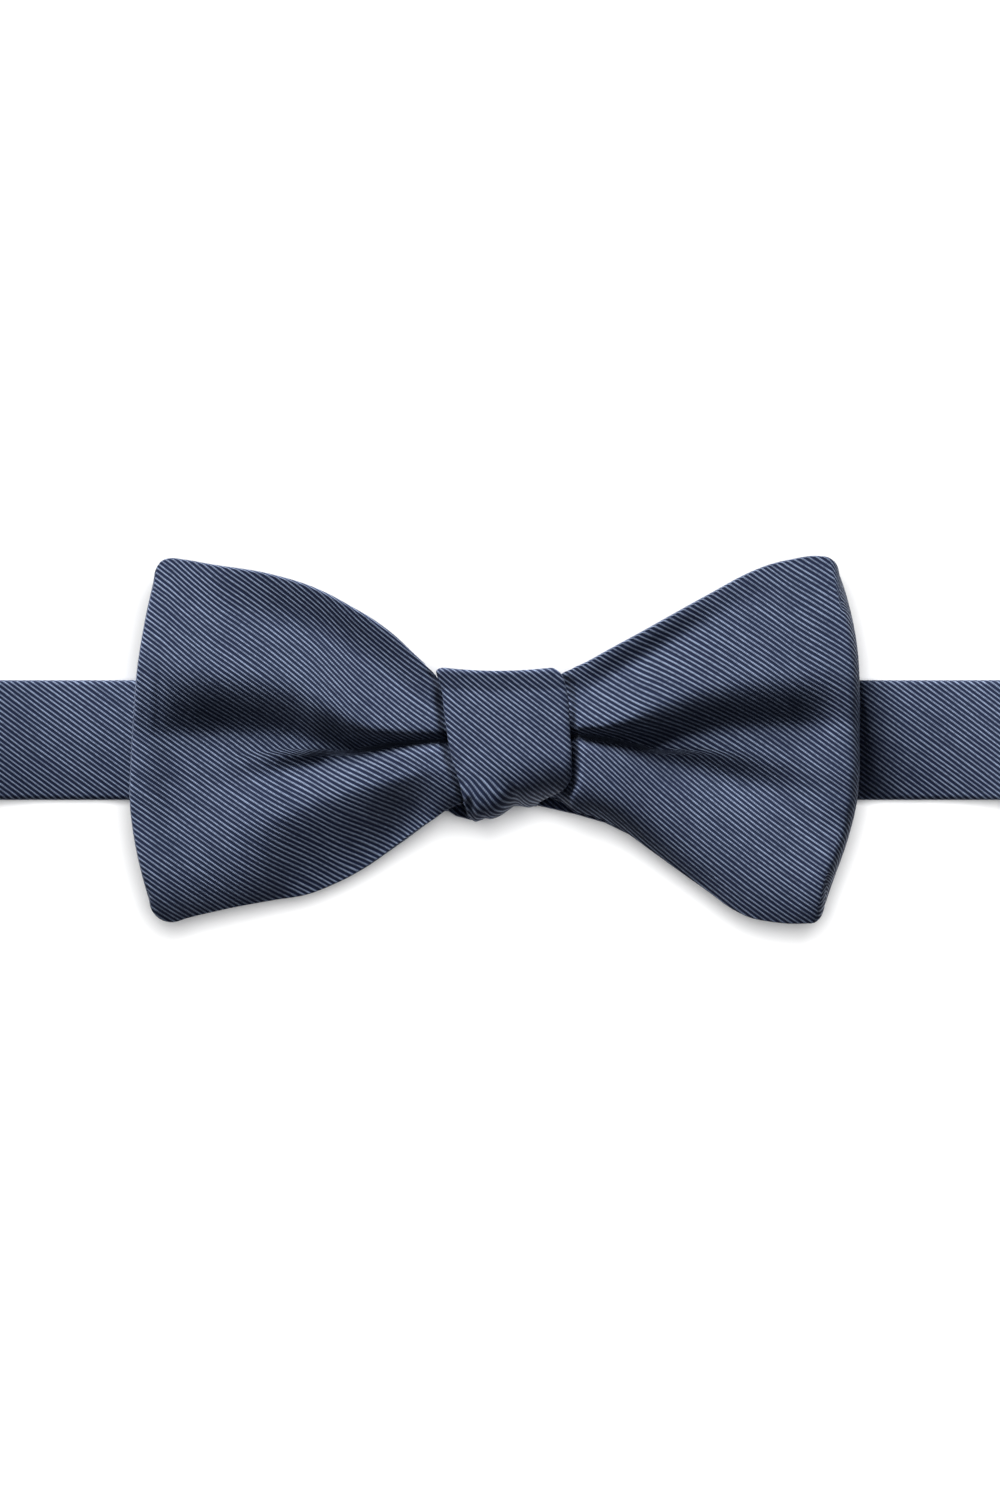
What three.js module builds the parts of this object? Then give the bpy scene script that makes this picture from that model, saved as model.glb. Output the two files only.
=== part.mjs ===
// Pre-tied bow tie of twill cloth, lying on its back on a flat surface.
// Millimetres. +Z up and out of the front of the bow, +X to its right as seen
// from the front, +Y to its top edge. The origin is on the surface, under the
// middle of the bow.

import * as THREE from "three";

// Driving dimensions
const BOW_WIDTH = 120;            // over both outer folds
const LOOP_WALL = 1.25;           // folded, lined cloth of the bow's loop
const BACK_WALL = 1.4;            // cloth of the rear blade
const KNOT_WALL = 1.3;
const BAND_WALL = 1.4;
const BAND_WIDTH = 19.8;
const BAND_LENGTH = 424;          // whole closed loop, a 16 1/2 inch collar
const CLEARANCE = 0.3;            // between two cloths that touch

// Heights above the surface, from the bottom of the stack to the top
const KNOT_UNDERSIDE = BAND_WALL + CLEARANCE;
const BAND_FRONT_LEVEL = KNOT_UNDERSIDE + KNOT_WALL + CLEARANCE;
const BACK_LEVEL_MIDDLE = BAND_FRONT_LEVEL + BAND_WALL + CLEARANCE;
const LOOP_LEVEL_MIDDLE = BACK_LEVEL_MIDDLE + BACK_WALL + CLEARANCE;
const LOOP_LEVEL_WING = 7.0;      // underside of the loop away from the knot
const KNOT_TOP = 17.2;

// The loop and the blade come down to their middle level under the knot.
const MIDDLE_REACH = 8;
const LEVEL_CHANGE_LENGTH = 14;

// Away from the knot their long edges hang down beside the band.
const DROOP = 2.4;
const DROOP_EDGE = 11;            // from the middle of the band
const DROOP_WIDTH = 12;
const DROOP_START = 13;           // out from the middle of the bow
const DROOP_LENGTH = 12;
const BLADE_EASE = 0.2;           // more room between the blade and the loop's wings

const TWILL_BLUE = 0x4b5468;
const STEEL = 0xb4b7bb;

// Smooth curves through short tables

function smoothStep(t) {
  const s = THREE.MathUtils.clamp(t, 0, 1);
  return s * s * (3 - 2 * s);
}

// Cubic through the points [position, value], with no overshoot beyond its ends.
function curveThrough(points, at) {
  const last = points.length - 1;
  if (at <= points[0][0]) return points[0][1];
  if (at >= points[last][0]) return points[last][1];
  const steps = [];
  for (let i = 0; i < last; i++) {
    const run = points[i + 1][0] - points[i][0];
    steps.push({ run, slope: (points[i + 1][1] - points[i][1]) / run });
  }
  const tangent = (i) => {
    if (i === 0) return steps[0].slope;
    if (i === last) return steps[last - 1].slope;
    const a = steps[i - 1];
    const b = steps[i];
    return (a.slope * b.run + b.slope * a.run) / (a.run + b.run);
  };
  let i = 0;
  while (at > points[i + 1][0]) i++;
  const { run } = steps[i];
  const t = (at - points[i][0]) / run;
  const t2 = t * t;
  const t3 = t2 * t;
  return (2 * t3 - 3 * t2 + 1) * points[i][1]
    + (t3 - 2 * t2 + t) * run * tangent(i)
    + (3 * t2 - 2 * t3) * points[i + 1][1]
    + (t3 - t2) * run * tangent(i + 1);
}

function column(columns, rows, name) {
  const k = columns.indexOf(name);
  return rows.map((row) => [row[0], row[k]]);
}

// A sheet of cloth as a closed solid, from two grids of points with the same
// rows and columns. In a ring the last row joins the first one.
function clothSolid(topGrid, underGrid, ring) {
  const rows = topGrid.length;
  const cols = topGrid[0].length;
  const positions = [];
  for (const grid of [topGrid, underGrid]) {
    for (const row of grid) {
      for (const p of row) positions.push(p.x, p.y, p.z);
    }
  }
  const top = (i, j) => (i % rows) * cols + j;
  const under = (i, j) => rows * cols + (i % rows) * cols + j;
  const indices = [];
  const quad = (a, b, c, d) => indices.push(a, b, c, a, c, d);
  const spans = ring ? rows : rows - 1;
  for (let i = 0; i < spans; i++) {
    for (let j = 0; j < cols - 1; j++) {
      quad(top(i, j), top(i + 1, j), top(i + 1, j + 1), top(i, j + 1));
      quad(under(i, j), under(i, j + 1), under(i + 1, j + 1), under(i + 1, j));
    }
    quad(under(i, 0), under(i + 1, 0), top(i + 1, 0), top(i, 0));
    const j = cols - 1;
    quad(top(i, j), top(i + 1, j), under(i + 1, j), under(i, j));
  }
  if (!ring) {
    const i = rows - 1;
    for (let j = 0; j < cols - 1; j++) {
      quad(top(0, j), top(0, j + 1), under(0, j + 1), under(0, j));
      quad(under(i, j), under(i, j + 1), top(i, j + 1), top(i, j));
    }
  }
  const geometry = new THREE.BufferGeometry();
  geometry.setAttribute("position", new THREE.Float32BufferAttribute(positions, 3));
  geometry.setIndex(indices);
  geometry.computeVertexNormals();
  return geometry;
}

// The loop of the bow: two wings, each a front wall, an outer fold and a back
// wall. Distances "out" run from the middle of the bow to the side.

const HALF_WIDTH = BOW_WIDTH / 2;

const SECTION_COLUMNS = [
  "out", "hem_rise", "top_z", "up_y", "up_z", "crease_y", "crease_z", "shelf_y", "shelf_z",
  "low_crease_y", "low_crease_z", "low_y", "low_z", "fall_y", "bottom_z", "low_slope",
];
const LEFT_SECTIONS = [
  [0, 0, 14.8, 2.0, 15.4, 0.2, 13.6, 0.0, 13.6, -0.3, 13.6, -2.4, 15.0, -4.0, 12.2, 0],
  [9.5, 0.4, 15.3, 1.9, 16.1, -0.1, 13.5, -0.3, 13.5, -0.6, 13.5, -2.6, 15.0, -5.0, 11.4, 0.4],
  [12, 0.9, 15.6, 2.0, 16.3, -0.2, 13.4, -0.5, 13.4, -0.8, 13.4, -2.9, 14.9, -5.2, 10.8, 0.8],
  [14, 1.2, 15.8, 2.3, 16.4, -0.3, 13.3, -0.6, 13.3, -1.0, 13.3, -3.3, 14.8, -5.6, 10.1, 1],
  [17.2, 1.6, 15.9, 3.2, 16.4, -0.7, 13.1, -1.1, 13.1, -1.6, 13.0, -4.4, 14.4, -6.6, 9.5, 1],
  [20.5, 1.8, 16.1, 4.6, 16.6, -1.2, 12.9, -1.6, 12.8, -2.3, 12.7, -5.6, 13.8, -7.4, 8.5, 1],
  [23.7, 2.1, 16.2, 6.0, 16.7, -1.6, 12.4, -2.1, 12.3, -2.9, 12.1, -6.8, 13.1, -8.2, 7.8, 1],
  [27, 2.3, 16.2, 7.6, 16.8, -0.7, 12.8, -1.3, 12.7, -3.3, 11.7, -8.0, 12.6, -9.4, 7.7, 1],
  [30.3, 2.3, 16.3, 8.8, 16.9, -0.2, 13.2, -1.5, 13.1, -4.1, 11.6, -9.5, 12.4, -10.5, 7.7, 1],
  [33.6, 2.0, 16.5, 9.8, 17.0, 0.7, 13.0, -1.8, 12.8, -4.7, 11.6, -11.0, 12.3, -12.0, 7.9, 0.9],
  [37, 1.6, 16.7, 10.6, 17.1, 1.1, 12.9, -2.2, 12.7, -5.5, 12.0, -12.0, 12.5, -13.0, 8.0, 0.7],
  [42, 1.1, 17.0, 11.4, 17.3, 1.2, 12.6, -3.0, 12.5, -6.7, 12.2, -13.0, 12.5, -14.0, 8.3, 0.5],
  [48, 0.6, 17.1, 12.0, 17.3, 1.2, 12.3, -3.6, 12.3, -7.6, 12.2, -14.0, 12.2, -15.0, 8.5, 0.2],
  [53, 0.2, 16.9, 12.6, 17.1, 1.0, 12.4, -4.0, 12.3, -8.0, 12.2, -14.5, 12.2, -15.5, 9.0, 0],
  [57, 0, 15.8, 13.4, 16.0, 0.8, 12.6, -4.2, 12.6, -8.2, 12.5, -15.0, 12.4, -16.0, 9.8, 0],
  [60, 0, 15.0, 14.0, 15.2, 0.8, 12.9, -4.2, 12.8, -8.2, 12.7, -15.0, 12.6, -16.0, 10.4, 0],
];
const RIGHT_SECTIONS = [
  [0, 0, 14.8, 2.0, 15.4, 0.2, 13.6, 0.0, 13.6, -0.3, 13.6, -2.4, 15.0, -4.0, 12.2, 0],
  [12.6, 0.9, 15.0, 2.8, 16.0, 0.9, 13.6, 0.5, 13.6, 0.1, 13.6, -2.2, 14.8, -4.0, 11.6, 0],
  [14.5, 1.1, 15.2, 3.0, 16.1, 0.7, 13.5, 0.3, 13.5, -0.1, 13.5, -2.6, 14.7, -4.4, 11.2, 0],
  [17.3, 1.3, 15.5, 3.6, 16.3, 0.4, 13.3, 0.0, 13.2, -0.6, 13.2, -3.6, 14.3, -5.4, 10.6, 0],
  [20.6, 1.4, 15.9, 4.6, 16.5, -0.2, 12.9, -0.6, 12.9, -1.3, 12.8, -5.0, 13.8, -6.8, 10.0, 0],
  [23.9, 1.4, 16.2, 5.8, 16.7, -0.7, 12.6, -1.2, 12.5, -2.2, 12.3, -6.8, 13.2, -8.4, 9.6, 0],
  [27.2, 1.3, 16.5, 7.0, 16.9, -0.5, 12.8, -1.2, 12.7, -3.3, 11.8, -8.8, 12.6, -9.8, 9.4, 0],
  [30.5, 1.1, 16.7, 8.0, 17.1, 0.4, 13.2, -0.7, 13.1, -4.3, 11.4, -10.0, 12.0, -11.0, 9.2, 0],
  [33.7, 0.9, 16.9, 8.9, 17.2, 1.2, 13.3, -0.7, 13.2, -5.2, 11.0, -11.0, 11.6, -12.0, 9.0, 0],
  [37, 0.7, 17.0, 9.6, 17.3, 1.9, 13.4, -1.1, 13.3, -6.2, 10.8, -12.0, 11.3, -13.0, 8.9, 0],
  [42, 0.4, 17.1, 10.4, 17.5, 2.2, 13.5, -1.9, 13.4, -7.5, 10.8, -13.0, 11.2, -14.0, 8.9, 0],
  [47, 0.2, 17.1, 10.8, 17.4, 2.4, 13.5, -3.0, 13.5, -8.7, 11.5, -14.0, 11.7, -15.0, 9.2, 0],
  [50.2, 0.1, 17.0, 11.0, 17.3, 2.5, 13.4, -3.8, 13.4, -9.4, 12.1, -14.6, 12.1, -15.6, 9.6, 0],
  [54, 0, 16.5, 11.4, 16.7, 2.6, 13.5, -4.4, 13.4, -9.8, 12.7, -15.0, 12.4, -16.0, 10.2, 0],
  [57, 0, 15.6, 11.8, 15.8, 2.7, 13.6, -4.6, 13.5, -10.0, 13.1, -15.4, 12.7, -16.4, 10.8, 0],
  [60, 0, 15.0, 12.0, 15.2, 2.7, 13.6, -4.6, 13.5, -10.0, 13.3, -15.4, 12.9, -16.4, 11.2, 0],
];

// Outline of each wing: the long edges as [out, y], the outer fold as
// [share of the height, out].
const LEFT_OUTLINE = {
  top: [[0, 8.3], [8.2, 8.8], [9.6, 9.8], [11.2, 12.1], [13.4, 14.1], [17.1, 17.3], [22, 20.7],
    [29.5, 24.6], [36.8, 27], [46.7, 28.8], [51, 29.5], [53.4, 29.6]],
  bottom: [[0, -8.6], [4.2, -10], [7.3, -11.2], [12.2, -14.4], [19.6, -19.7], [24.5, -22.7],
    [29.5, -24.7], [36.8, -26.3], [46.7, -28.2], [53.4, -29.9]],
  fold: [[0, 53.4], [0.006, 54.8], [0.022, 55.95], [0.045, 56.7], [0.13, 58.1], [0.24, 59.4],
    [0.34, 60], [0.45, 59.8], [0.56, 59.4], [0.7, 58.7], [0.86, 57.1], [0.94, 56.05],
    [0.976, 55.4], [0.994, 54.4], [1, 53.4]],
};
const RIGHT_OUTLINE = {
  top: [[0, 8.3], [10.6, 8.8], [12.4, 9.8], [13.6, 12], [14.5, 12.6], [18.1, 14.5], [30.4, 21.4],
    [37.8, 25.4], [43.5, 28], [49, 29.5], [53.4, 30]],
  bottom: [[0, -8.6], [8.5, -9.1], [10.5, -9.4], [13.5, -10.05], [16.6, -11.7], [20.6, -14.5],
    [30.4, -21.5], [37.8, -26.8], [40.6, -28.5], [44, -29.5], [51.2, -30.1]],
  fold: [[0, 51.2], [0.005, 52.8], [0.017, 53.6], [0.045, 54.3], [0.13, 56], [0.24, 58.2],
    [0.32, 59.4], [0.4, 59.9], [0.52, 60], [0.67, 60], [0.75, 59.6], [0.86, 58.2], [0.94, 56.7],
    [0.976, 56], [0.993, 55.1], [1, 53.4]],
};

// The knot's side edge over each wing is knotEdge out from the middle, plus
// knotLean for each millimetre up. hemWidth is the ridge along the top edge.
const WINGS = {
  left: {
    side: -1, sections: LEFT_SECTIONS, outline: LEFT_OUTLINE,
    knotEdge: 7.7, knotLean: 0.19, hemWidth: 7,
  },
  right: {
    side: 1, sections: RIGHT_SECTIONS, outline: RIGHT_OUTLINE,
    knotEdge: 13, knotLean: 0, hemWidth: 4.5,
  },
};

// Where the grid lines of a section lie between its features.
const SECTION_ROWS = [
  ["bottom", 0, 0.25, 0.5, 0.75],
  ["lobe", 0],
  ["low_rise", 0, 0.5],
  ["step", 0, 0.25, 0.5, 0.75],
  ["shelf", 0],
  ["up_rise", 0, 0.2, 0.4, 0.65],
  ["top", 0, 0.3, 0.6, 0.8, 1],
].flatMap(([part, ...shares]) => shares.map((share) => ({ part, share })));

// Each part of a section: from where to where it goes, and the share of the
// change in height that is reached at a share of its way.
const SECTION_PARTS = {
  lobe: { from: "fall", to: "low", change: (t) => t },
  low_rise: { from: "low", to: "low_crease", change: (t) => 1 - wallRise(1 - t) },
  step: { from: "low_crease", to: "shelf", change: smoothStep },
  shelf: { from: "shelf", to: "crease", change: (t) => t },
  up_rise: { from: "crease", to: "up", change: wallRise },
};

const FRONT_STATIONS = [
  4, 8, 10.6, 12.4, 13.8, 15.4, 17.5, 20, 22.5, 25, 28, 32, 36, 41, 46, 50, 54, 57,
];
const FOLD_ANGLES = [30, 60, 90, 125, 160];
const BACK_STATIONS = [54, 42, 28, 25, 22.5, 20, 17.5, 15, 12.4, 10.6, 8];
const BACK_NARROWING = 0.97;      // height of the rear wall beside the front wall

const WALL_CURVE = 1.25;          // how softly a crease's wall leaves its floor
const EDGE_ROLL = 2.4;            // how late the lower lobe rolls over to its edge
const HEM_CURVE = 1.4;
const HEM_SHARE = 0.6;            // the most that the hem takes of the upper lobe
const KNOT_PRESS = 2.2;           // the knot presses the loop down by this much
const KNOT_PRESS_WIDTH = 2.4;

function wallRise(t) {
  return Math.sin((Math.PI / 2) * t) ** WALL_CURVE;
}

// Share of the wing's height, and height of the cloth, for one grid line.
function sectionPoint(wing, out, { part, share }) {
  const { lerp } = THREE.MathUtils;
  const value = (name) => curveThrough(column(SECTION_COLUMNS, wing.sections, name), out);
  const top = curveThrough(wing.outline.top, out);
  const bottom = curveThrough(wing.outline.bottom, out);
  let y;
  let z;
  if (part === "bottom") {
    const down = 1 - share;
    const fall = lerp(down ** EDGE_ROLL, wallRise(down), value("low_slope"));
    y = lerp(bottom, value("fall_y"), share);
    z = lerp(value("low_z"), value("bottom_z"), fall);
  } else if (part === "top") {
    const hemWidth = Math.min(wing.hemWidth, HEM_SHARE * (top - value("up_y")));
    y = lerp(value("up_y"), top, share);
    const hem = Math.max(1 - (top - y) / hemWidth, 0) ** HEM_CURVE;
    z = lerp(value("up_z"), value("top_z"), smoothStep(share)) + value("hem_rise") * hem;
  } else {
    const { from, to, change } = SECTION_PARTS[part];
    const height = (name) => value(name === "fall" ? "low_z" : `${name}_z`);
    y = lerp(value(`${from}_y`), value(`${to}_y`), share);
    z = lerp(height(from), height(to), change(share));
  }
  const beside = out - wing.knotEdge - wing.knotLean * y;
  z -= KNOT_PRESS * (1 - smoothStep(beside / KNOT_PRESS_WIDTH));
  return { share: (y - bottom) / (top - bottom), z };
}

// A point of the wing in plan: out along the wing and a share of its height.
function planPoint(wing, out, share, narrowing) {
  const reach = curveThrough(wing.outline.fold, share);
  const x = out * (reach / HALF_WIDTH);
  const top = curveThrough(wing.outline.top, x);
  const bottom = curveThrough(wing.outline.bottom, x);
  const middle = (top + bottom) / 2;
  const half = ((top - bottom) / 2) * narrowing;
  return { x, y: middle + half * (2 * share - 1), reach };
}

function wingShare(out) {
  return smoothStep((out - MIDDLE_REACH) / LEVEL_CHANGE_LENGTH);
}

// How far the walls behind the wings hang down beside the band.
function droop(x, y) {
  const beside = smoothStep((Math.abs(y) - DROOP_EDGE) / DROOP_WIDTH);
  return DROOP * beside * smoothStep((Math.abs(x) - DROOP_START) / DROOP_LENGTH);
}

function loopUnderside(out, y) {
  return THREE.MathUtils.lerp(LOOP_LEVEL_MIDDLE, LOOP_LEVEL_WING, wingShare(out)) - droop(out, y);
}

// One wing as rows of point pairs, from the middle along the front wall, round
// the outer fold and back along the rear wall.
function wingRows(wing) {
  const rows = [];
  const place = (x, y, z) => new THREE.Vector3(wing.side * x, y, z);
  const frontPoint = (out, row) => {
    const { share, z } = sectionPoint(wing, out, row);
    return { share, plan: planPoint(wing, out, share, 1), z };
  };
  for (const out of FRONT_STATIONS) {
    rows.push(SECTION_ROWS.map((row) => {
      const { plan, z } = frontPoint(out, row);
      return { outer: place(plan.x, plan.y, z), inner: place(plan.x, plan.y, z - LOOP_WALL) };
    }));
  }
  const foldOut = FRONT_STATIONS[FRONT_STATIONS.length - 1];
  for (const angle of FOLD_ANGLES) {
    const turn = THREE.MathUtils.degToRad(angle);
    rows.push(SECTION_ROWS.map((row) => {
      const { share, plan, z } = frontPoint(foldOut, row);
      const under = loopUnderside(foldOut, plan.y);
      const middle = (z + under) / 2;
      const half = (z - under) / 2;
      const reach = plan.reach - plan.x;
      const at = (thin) => {
        const x = plan.x + (reach - thin) * Math.sin(turn);
        const narrow = THREE.MathUtils.lerp(1, BACK_NARROWING, smoothStep(angle / 180));
        const y = planPoint(wing, (x * HALF_WIDTH) / plan.reach, share, narrow).y;
        return place(x, y, middle + (half - thin) * Math.cos(turn));
      };
      return { outer: at(0), inner: at(LOOP_WALL) };
    }));
  }
  for (const out of BACK_STATIONS) {
    rows.push(SECTION_ROWS.map((row) => {
      const { share } = sectionPoint(wing, out, row);
      const plan = planPoint(wing, out, share, BACK_NARROWING);
      const z = loopUnderside(out, plan.y);
      return { outer: place(plan.x, plan.y, z), inner: place(plan.x, plan.y, z + LOOP_WALL) };
    }));
  }
  return rows;
}

function bowFront() {
  const middle = (height, wall, narrowing) => SECTION_ROWS.map((row) => {
    const { share, z } = sectionPoint(WINGS.right, 0, row);
    const { y } = planPoint(WINGS.right, 0, share, narrowing);
    const outer = new THREE.Vector3(0, y, height ?? z);
    return { outer, inner: new THREE.Vector3(0, y, outer.z + wall) };
  });
  const frontMiddle = middle(null, -LOOP_WALL, 1);
  const backMiddle = middle(LOOP_LEVEL_MIDDLE, LOOP_WALL, BACK_NARROWING);
  const right = wingRows(WINGS.right);
  const left = wingRows(WINGS.left).reverse();
  const rows = [frontMiddle, ...right, backMiddle, ...left];
  return clothSolid(
    rows.map((row) => row.map((p) => p.outer)),
    rows.map((row) => row.map((p) => p.inner)),
    true,
  );
}

// The rear blade: a flat doubled strip behind the loop, narrow in the knot. It
// shows only under the right wing and beside the tuck of the knot.
const BLADE_COLUMNS = ["x", "bottom_y", "top_y"];
const BLADE_OUTLINE = [
  [-54, -22.5, 22.5],
  [-51, -25.5, 25.2],
  [-35, -22.6, 22.6],
  [-20, -16.4, 16.2],
  [-10, -11.6, 9.9],
  [-7.6, -11.5, 9.3],
  [-6.4, -12.3, 9.2],
  [-4.6, -12.8, 9.1],
  [-4.4, -9.3, 9.1],
  [0, -9.2, 9.1],
  [7.5, -9.2, 9.1],
  [7.8, -10.9, 9.1],
  [13.2, -12, 9.4],
  [18.1, -13.4, 12.4],
  [35, -21.8, 21.6],
  [50, -26.8, 25.6],
  [53, -24.5, 23.5],
];
const BLADE_STATIONS = [15, 17.5, 22.5, 25, 28, 42];
const BLADE_SHARES = [0, 0.02, 0.1, 0.17, 0.24, 0.31, 0.5, 0.69, 0.76, 0.83, 0.9, 0.98, 1];

function bladeLevel(x) {
  const wing = LOOP_LEVEL_WING - CLEARANCE - BLADE_EASE - BACK_WALL;
  return THREE.MathUtils.lerp(BACK_LEVEL_MIDDLE, wing, wingShare(Math.abs(x)));
}

function bowBack() {
  const bottom = column(BLADE_COLUMNS, BLADE_OUTLINE, "bottom_y");
  const top = column(BLADE_COLUMNS, BLADE_OUTLINE, "top_y");
  const between = BLADE_STATIONS.flatMap((x) => [-x, x]);
  const stations = [...BLADE_OUTLINE.map(([x]) => x), ...between].sort((a, b) => a - b);
  const grid = (lift) => stations.map((x) => BLADE_SHARES.map((share) => {
    const low = curveThrough(bottom, x);
    const y = THREE.MathUtils.lerp(low, curveThrough(top, x), share);
    return new THREE.Vector3(x, y, bladeLevel(x) - droop(x, y) + lift);
  }));
  return clothSolid(grid(BACK_WALL), grid(0), false);
}

// The knot: a strip wound once round the loop, the blade and the front run of
// the band. Positions run once round it, as shares, starting at the middle of
// its front and going down over its lower side.
const KNOT_TOP_SIDE = 11.85;
const KNOT_TOP_SAG = 0.5;         // its upper side is this much lower in the middle
const KNOT_LOW_SIDE = -11.0;
const KNOT_FRONT_RADIUS = 3.6;
const KNOT_BACK_RADIUS = 1.8;
const KNOT_ROUND = [
  0, 0.055, 0.085, 0.103, 0.115, 0.126, 0.137, 0.15, 0.165, 0.185, 0.23, 0.28, 0.322, 0.335,
  0.348, 0.361, 0.43, 0.5, 0.565, 0.628, 0.641, 0.654, 0.667, 0.715, 0.765, 0.807, 0.827, 0.847,
  0.866, 0.886, 0.943,
];
const KNOT_SHARES = [0, 0.06, 0.14, 0.22, 0.3, 0.4, 0.5, 0.6, 0.69, 0.77, 0.85, 0.94, 1];

const KNOT_EDGE_COLUMNS = ["round", "left_x", "right_x"];
const KNOT_EDGES = [
  [0, -7.7, 13.05],
  [0.03, -7.15, 13.1],
  [0.06, -6.4, 13.15],
  [0.085, -5.8, 13.15],
  [0.103, -5.3, 12.9],
  [0.115, -5.0, 12.3],
  [0.126, -4.7, 11.3],
  [0.137, -4.4, 9.8],
  [0.15, -4.05, 8.2],
  [0.165, -3.9, 7.4],
  [0.19, -3.85, 7.2],
  [0.25, -3.9, 7.2],
  [0.31, -4.0, 7.1],
  [0.38, -5.5, 7.2],
  [0.5, -7.6, 8.4],
  [0.66, -8.6, 9.6],
  [0.76, -9.2, 11.2],
  [0.843, -9.45, 12.0],
  [0.9, -8.95, 12.65],
  [0.955, -8.4, 12.95],
  [1, -7.7, 13.05],
];

// The tuck: how far it reaches past the knot's lower side, as [x, mm]
const TUCK_REACH = [
  [-4, 1.9], [-3.2, 2.4], [-2.3, 2.2], [-1.5, 1.9], [-0.7, 2], [0.2, 1.8], [1.2, 1.3],
  [2.5, 0.4], [3.4, -0.2], [3.9, -0.3], [4.9, 0], [5.7, 0.1], [6.6, -0.1], [7.4, -0.2],
];
const TUCK_START_Y = -6;          // the tuck grows from here down to the low side
const TUCK_GROWTH = 5;
const TUCK_START_Z = 2;
const TUCK_RISE = 4;
const CROWN_DROP = 0.8;           // the front falls this much to its side edges
const CROWN_START_Z = 12;
const CROWN_RISE = 4;

// Points round the knot's outer face, seen along the band: x is across the band
// and y is up.
function knotContour() {
  const shape = new THREE.Shape();
  const front = KNOT_FRONT_RADIUS;
  const back = KNOT_BACK_RADIUS;
  const quarter = Math.PI / 2;
  shape.moveTo(0, KNOT_TOP);
  shape.lineTo(KNOT_LOW_SIDE + front, KNOT_TOP);
  shape.absarc(KNOT_LOW_SIDE + front, KNOT_TOP - front, front, quarter, 2 * quarter, false);
  shape.lineTo(KNOT_LOW_SIDE, KNOT_UNDERSIDE + back);
  shape.absarc(KNOT_LOW_SIDE + back, KNOT_UNDERSIDE + back, back, 2 * quarter, 3 * quarter, false);
  shape.lineTo(KNOT_TOP_SIDE - back, KNOT_UNDERSIDE);
  shape.absarc(KNOT_TOP_SIDE - back, KNOT_UNDERSIDE + back, back, 3 * quarter, 4 * quarter, false);
  shape.lineTo(KNOT_TOP_SIDE, KNOT_TOP - front);
  shape.absarc(KNOT_TOP_SIDE - front, KNOT_TOP - front, front, 0, quarter, false);
  shape.lineTo(0, KNOT_TOP);
  return KNOT_ROUND.map((round) => {
    const along = shape.getTangentAt(round);
    return { round, point: shape.getPointAt(round), inward: new THREE.Vector2(-along.y, along.x) };
  });
}

function knotWrap() {
  const contour = knotContour();
  const left = column(KNOT_EDGE_COLUMNS, KNOT_EDGES, "left_x");
  const right = column(KNOT_EDGE_COLUMNS, KNOT_EDGES, "right_x");
  const ring = (depth) => contour.map(({ round, point, inward }) => {
    const low = smoothStep((TUCK_START_Y - point.x) / TUCK_GROWTH)
      * smoothStep((point.y - TUCK_START_Z) / TUCK_RISE);
    const high = smoothStep(point.x / KNOT_TOP_SIDE);
    const front = smoothStep((point.y - CROWN_START_Z) / CROWN_RISE);
    return KNOT_SHARES.map((share) => {
      const x = THREE.MathUtils.lerp(curveThrough(left, round), curveThrough(right, round), share);
      const aside = Math.abs(2 * share - 1);
      const sag = KNOT_TOP_SAG * high * (1 - aside ** 2);
      const crown = CROWN_DROP * front * smoothStep(aside) ** 2;
      return new THREE.Vector3(
        x,
        point.x + inward.x * depth - low * curveThrough(TUCK_REACH, x) - sag,
        point.y + inward.y * depth - crown,
      );
    });
  });
  return clothSolid(ring(0), ring(KNOT_WALL), true);
}

// The neck band: one closed strip, pressed flat. Its front run goes through the
// knot, and its return run lies on the surface. The ends keep a soft bend.
const BEND_RADIUS = 4.6;
const CLASP_X = -86.7;
const CLASP_LENGTH = 8;
const CLASP_WALL = 0.9;
const CLASP_RAMP = 7;             // the band lifts over the clasp in this length
const BAND_IN_KNOT = 18;          // width of the band where the knot gathers it
const GATHER_REACH = 12;
const GATHER_LENGTH = 8;
const FLAT_REACH = 72;            // beyond this the front run rises to its bend
const RISE_LENGTH = 24;
const BEND_STEPS = 10;
const FRONT_RUN_STATIONS = [0, 6, 12, 16, 20, 40, 60, 72, 76, 80, 84, 88, 92, 96];
const RETURN_RUN_STATIONS = [
  96, 60, 20, -20, -60, -75.8, -77.4, -79, -80.6, -82.5, -90.9, -92.8, -94.4, -96, -97.6,
];

// Each run is straight as far as this to either side.
const HALF_RUN = (BAND_LENGTH / 2 - Math.PI * BEND_RADIUS) / 2;

// Lower face of each run at x.
function frontRunLevel(x) {
  const rise = smoothStep((Math.abs(x) - FLAT_REACH) / RISE_LENGTH);
  return THREE.MathUtils.lerp(BAND_FRONT_LEVEL, 2 * BEND_RADIUS - BAND_WALL / 2, rise);
}

function returnRunLevel(x) {
  const off = Math.max(Math.abs(x - CLASP_X) - CLASP_LENGTH / 2, 0);
  return (CLASP_WALL + CLEARANCE) * (1 - smoothStep(off / CLASP_RAMP));
}

function bandHalfWidth(x) {
  const free = smoothStep((Math.abs(x) - GATHER_REACH) / GATHER_LENGTH);
  return THREE.MathUtils.lerp(BAND_IN_KNOT, BAND_WIDTH, free) / 2;
}

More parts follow.
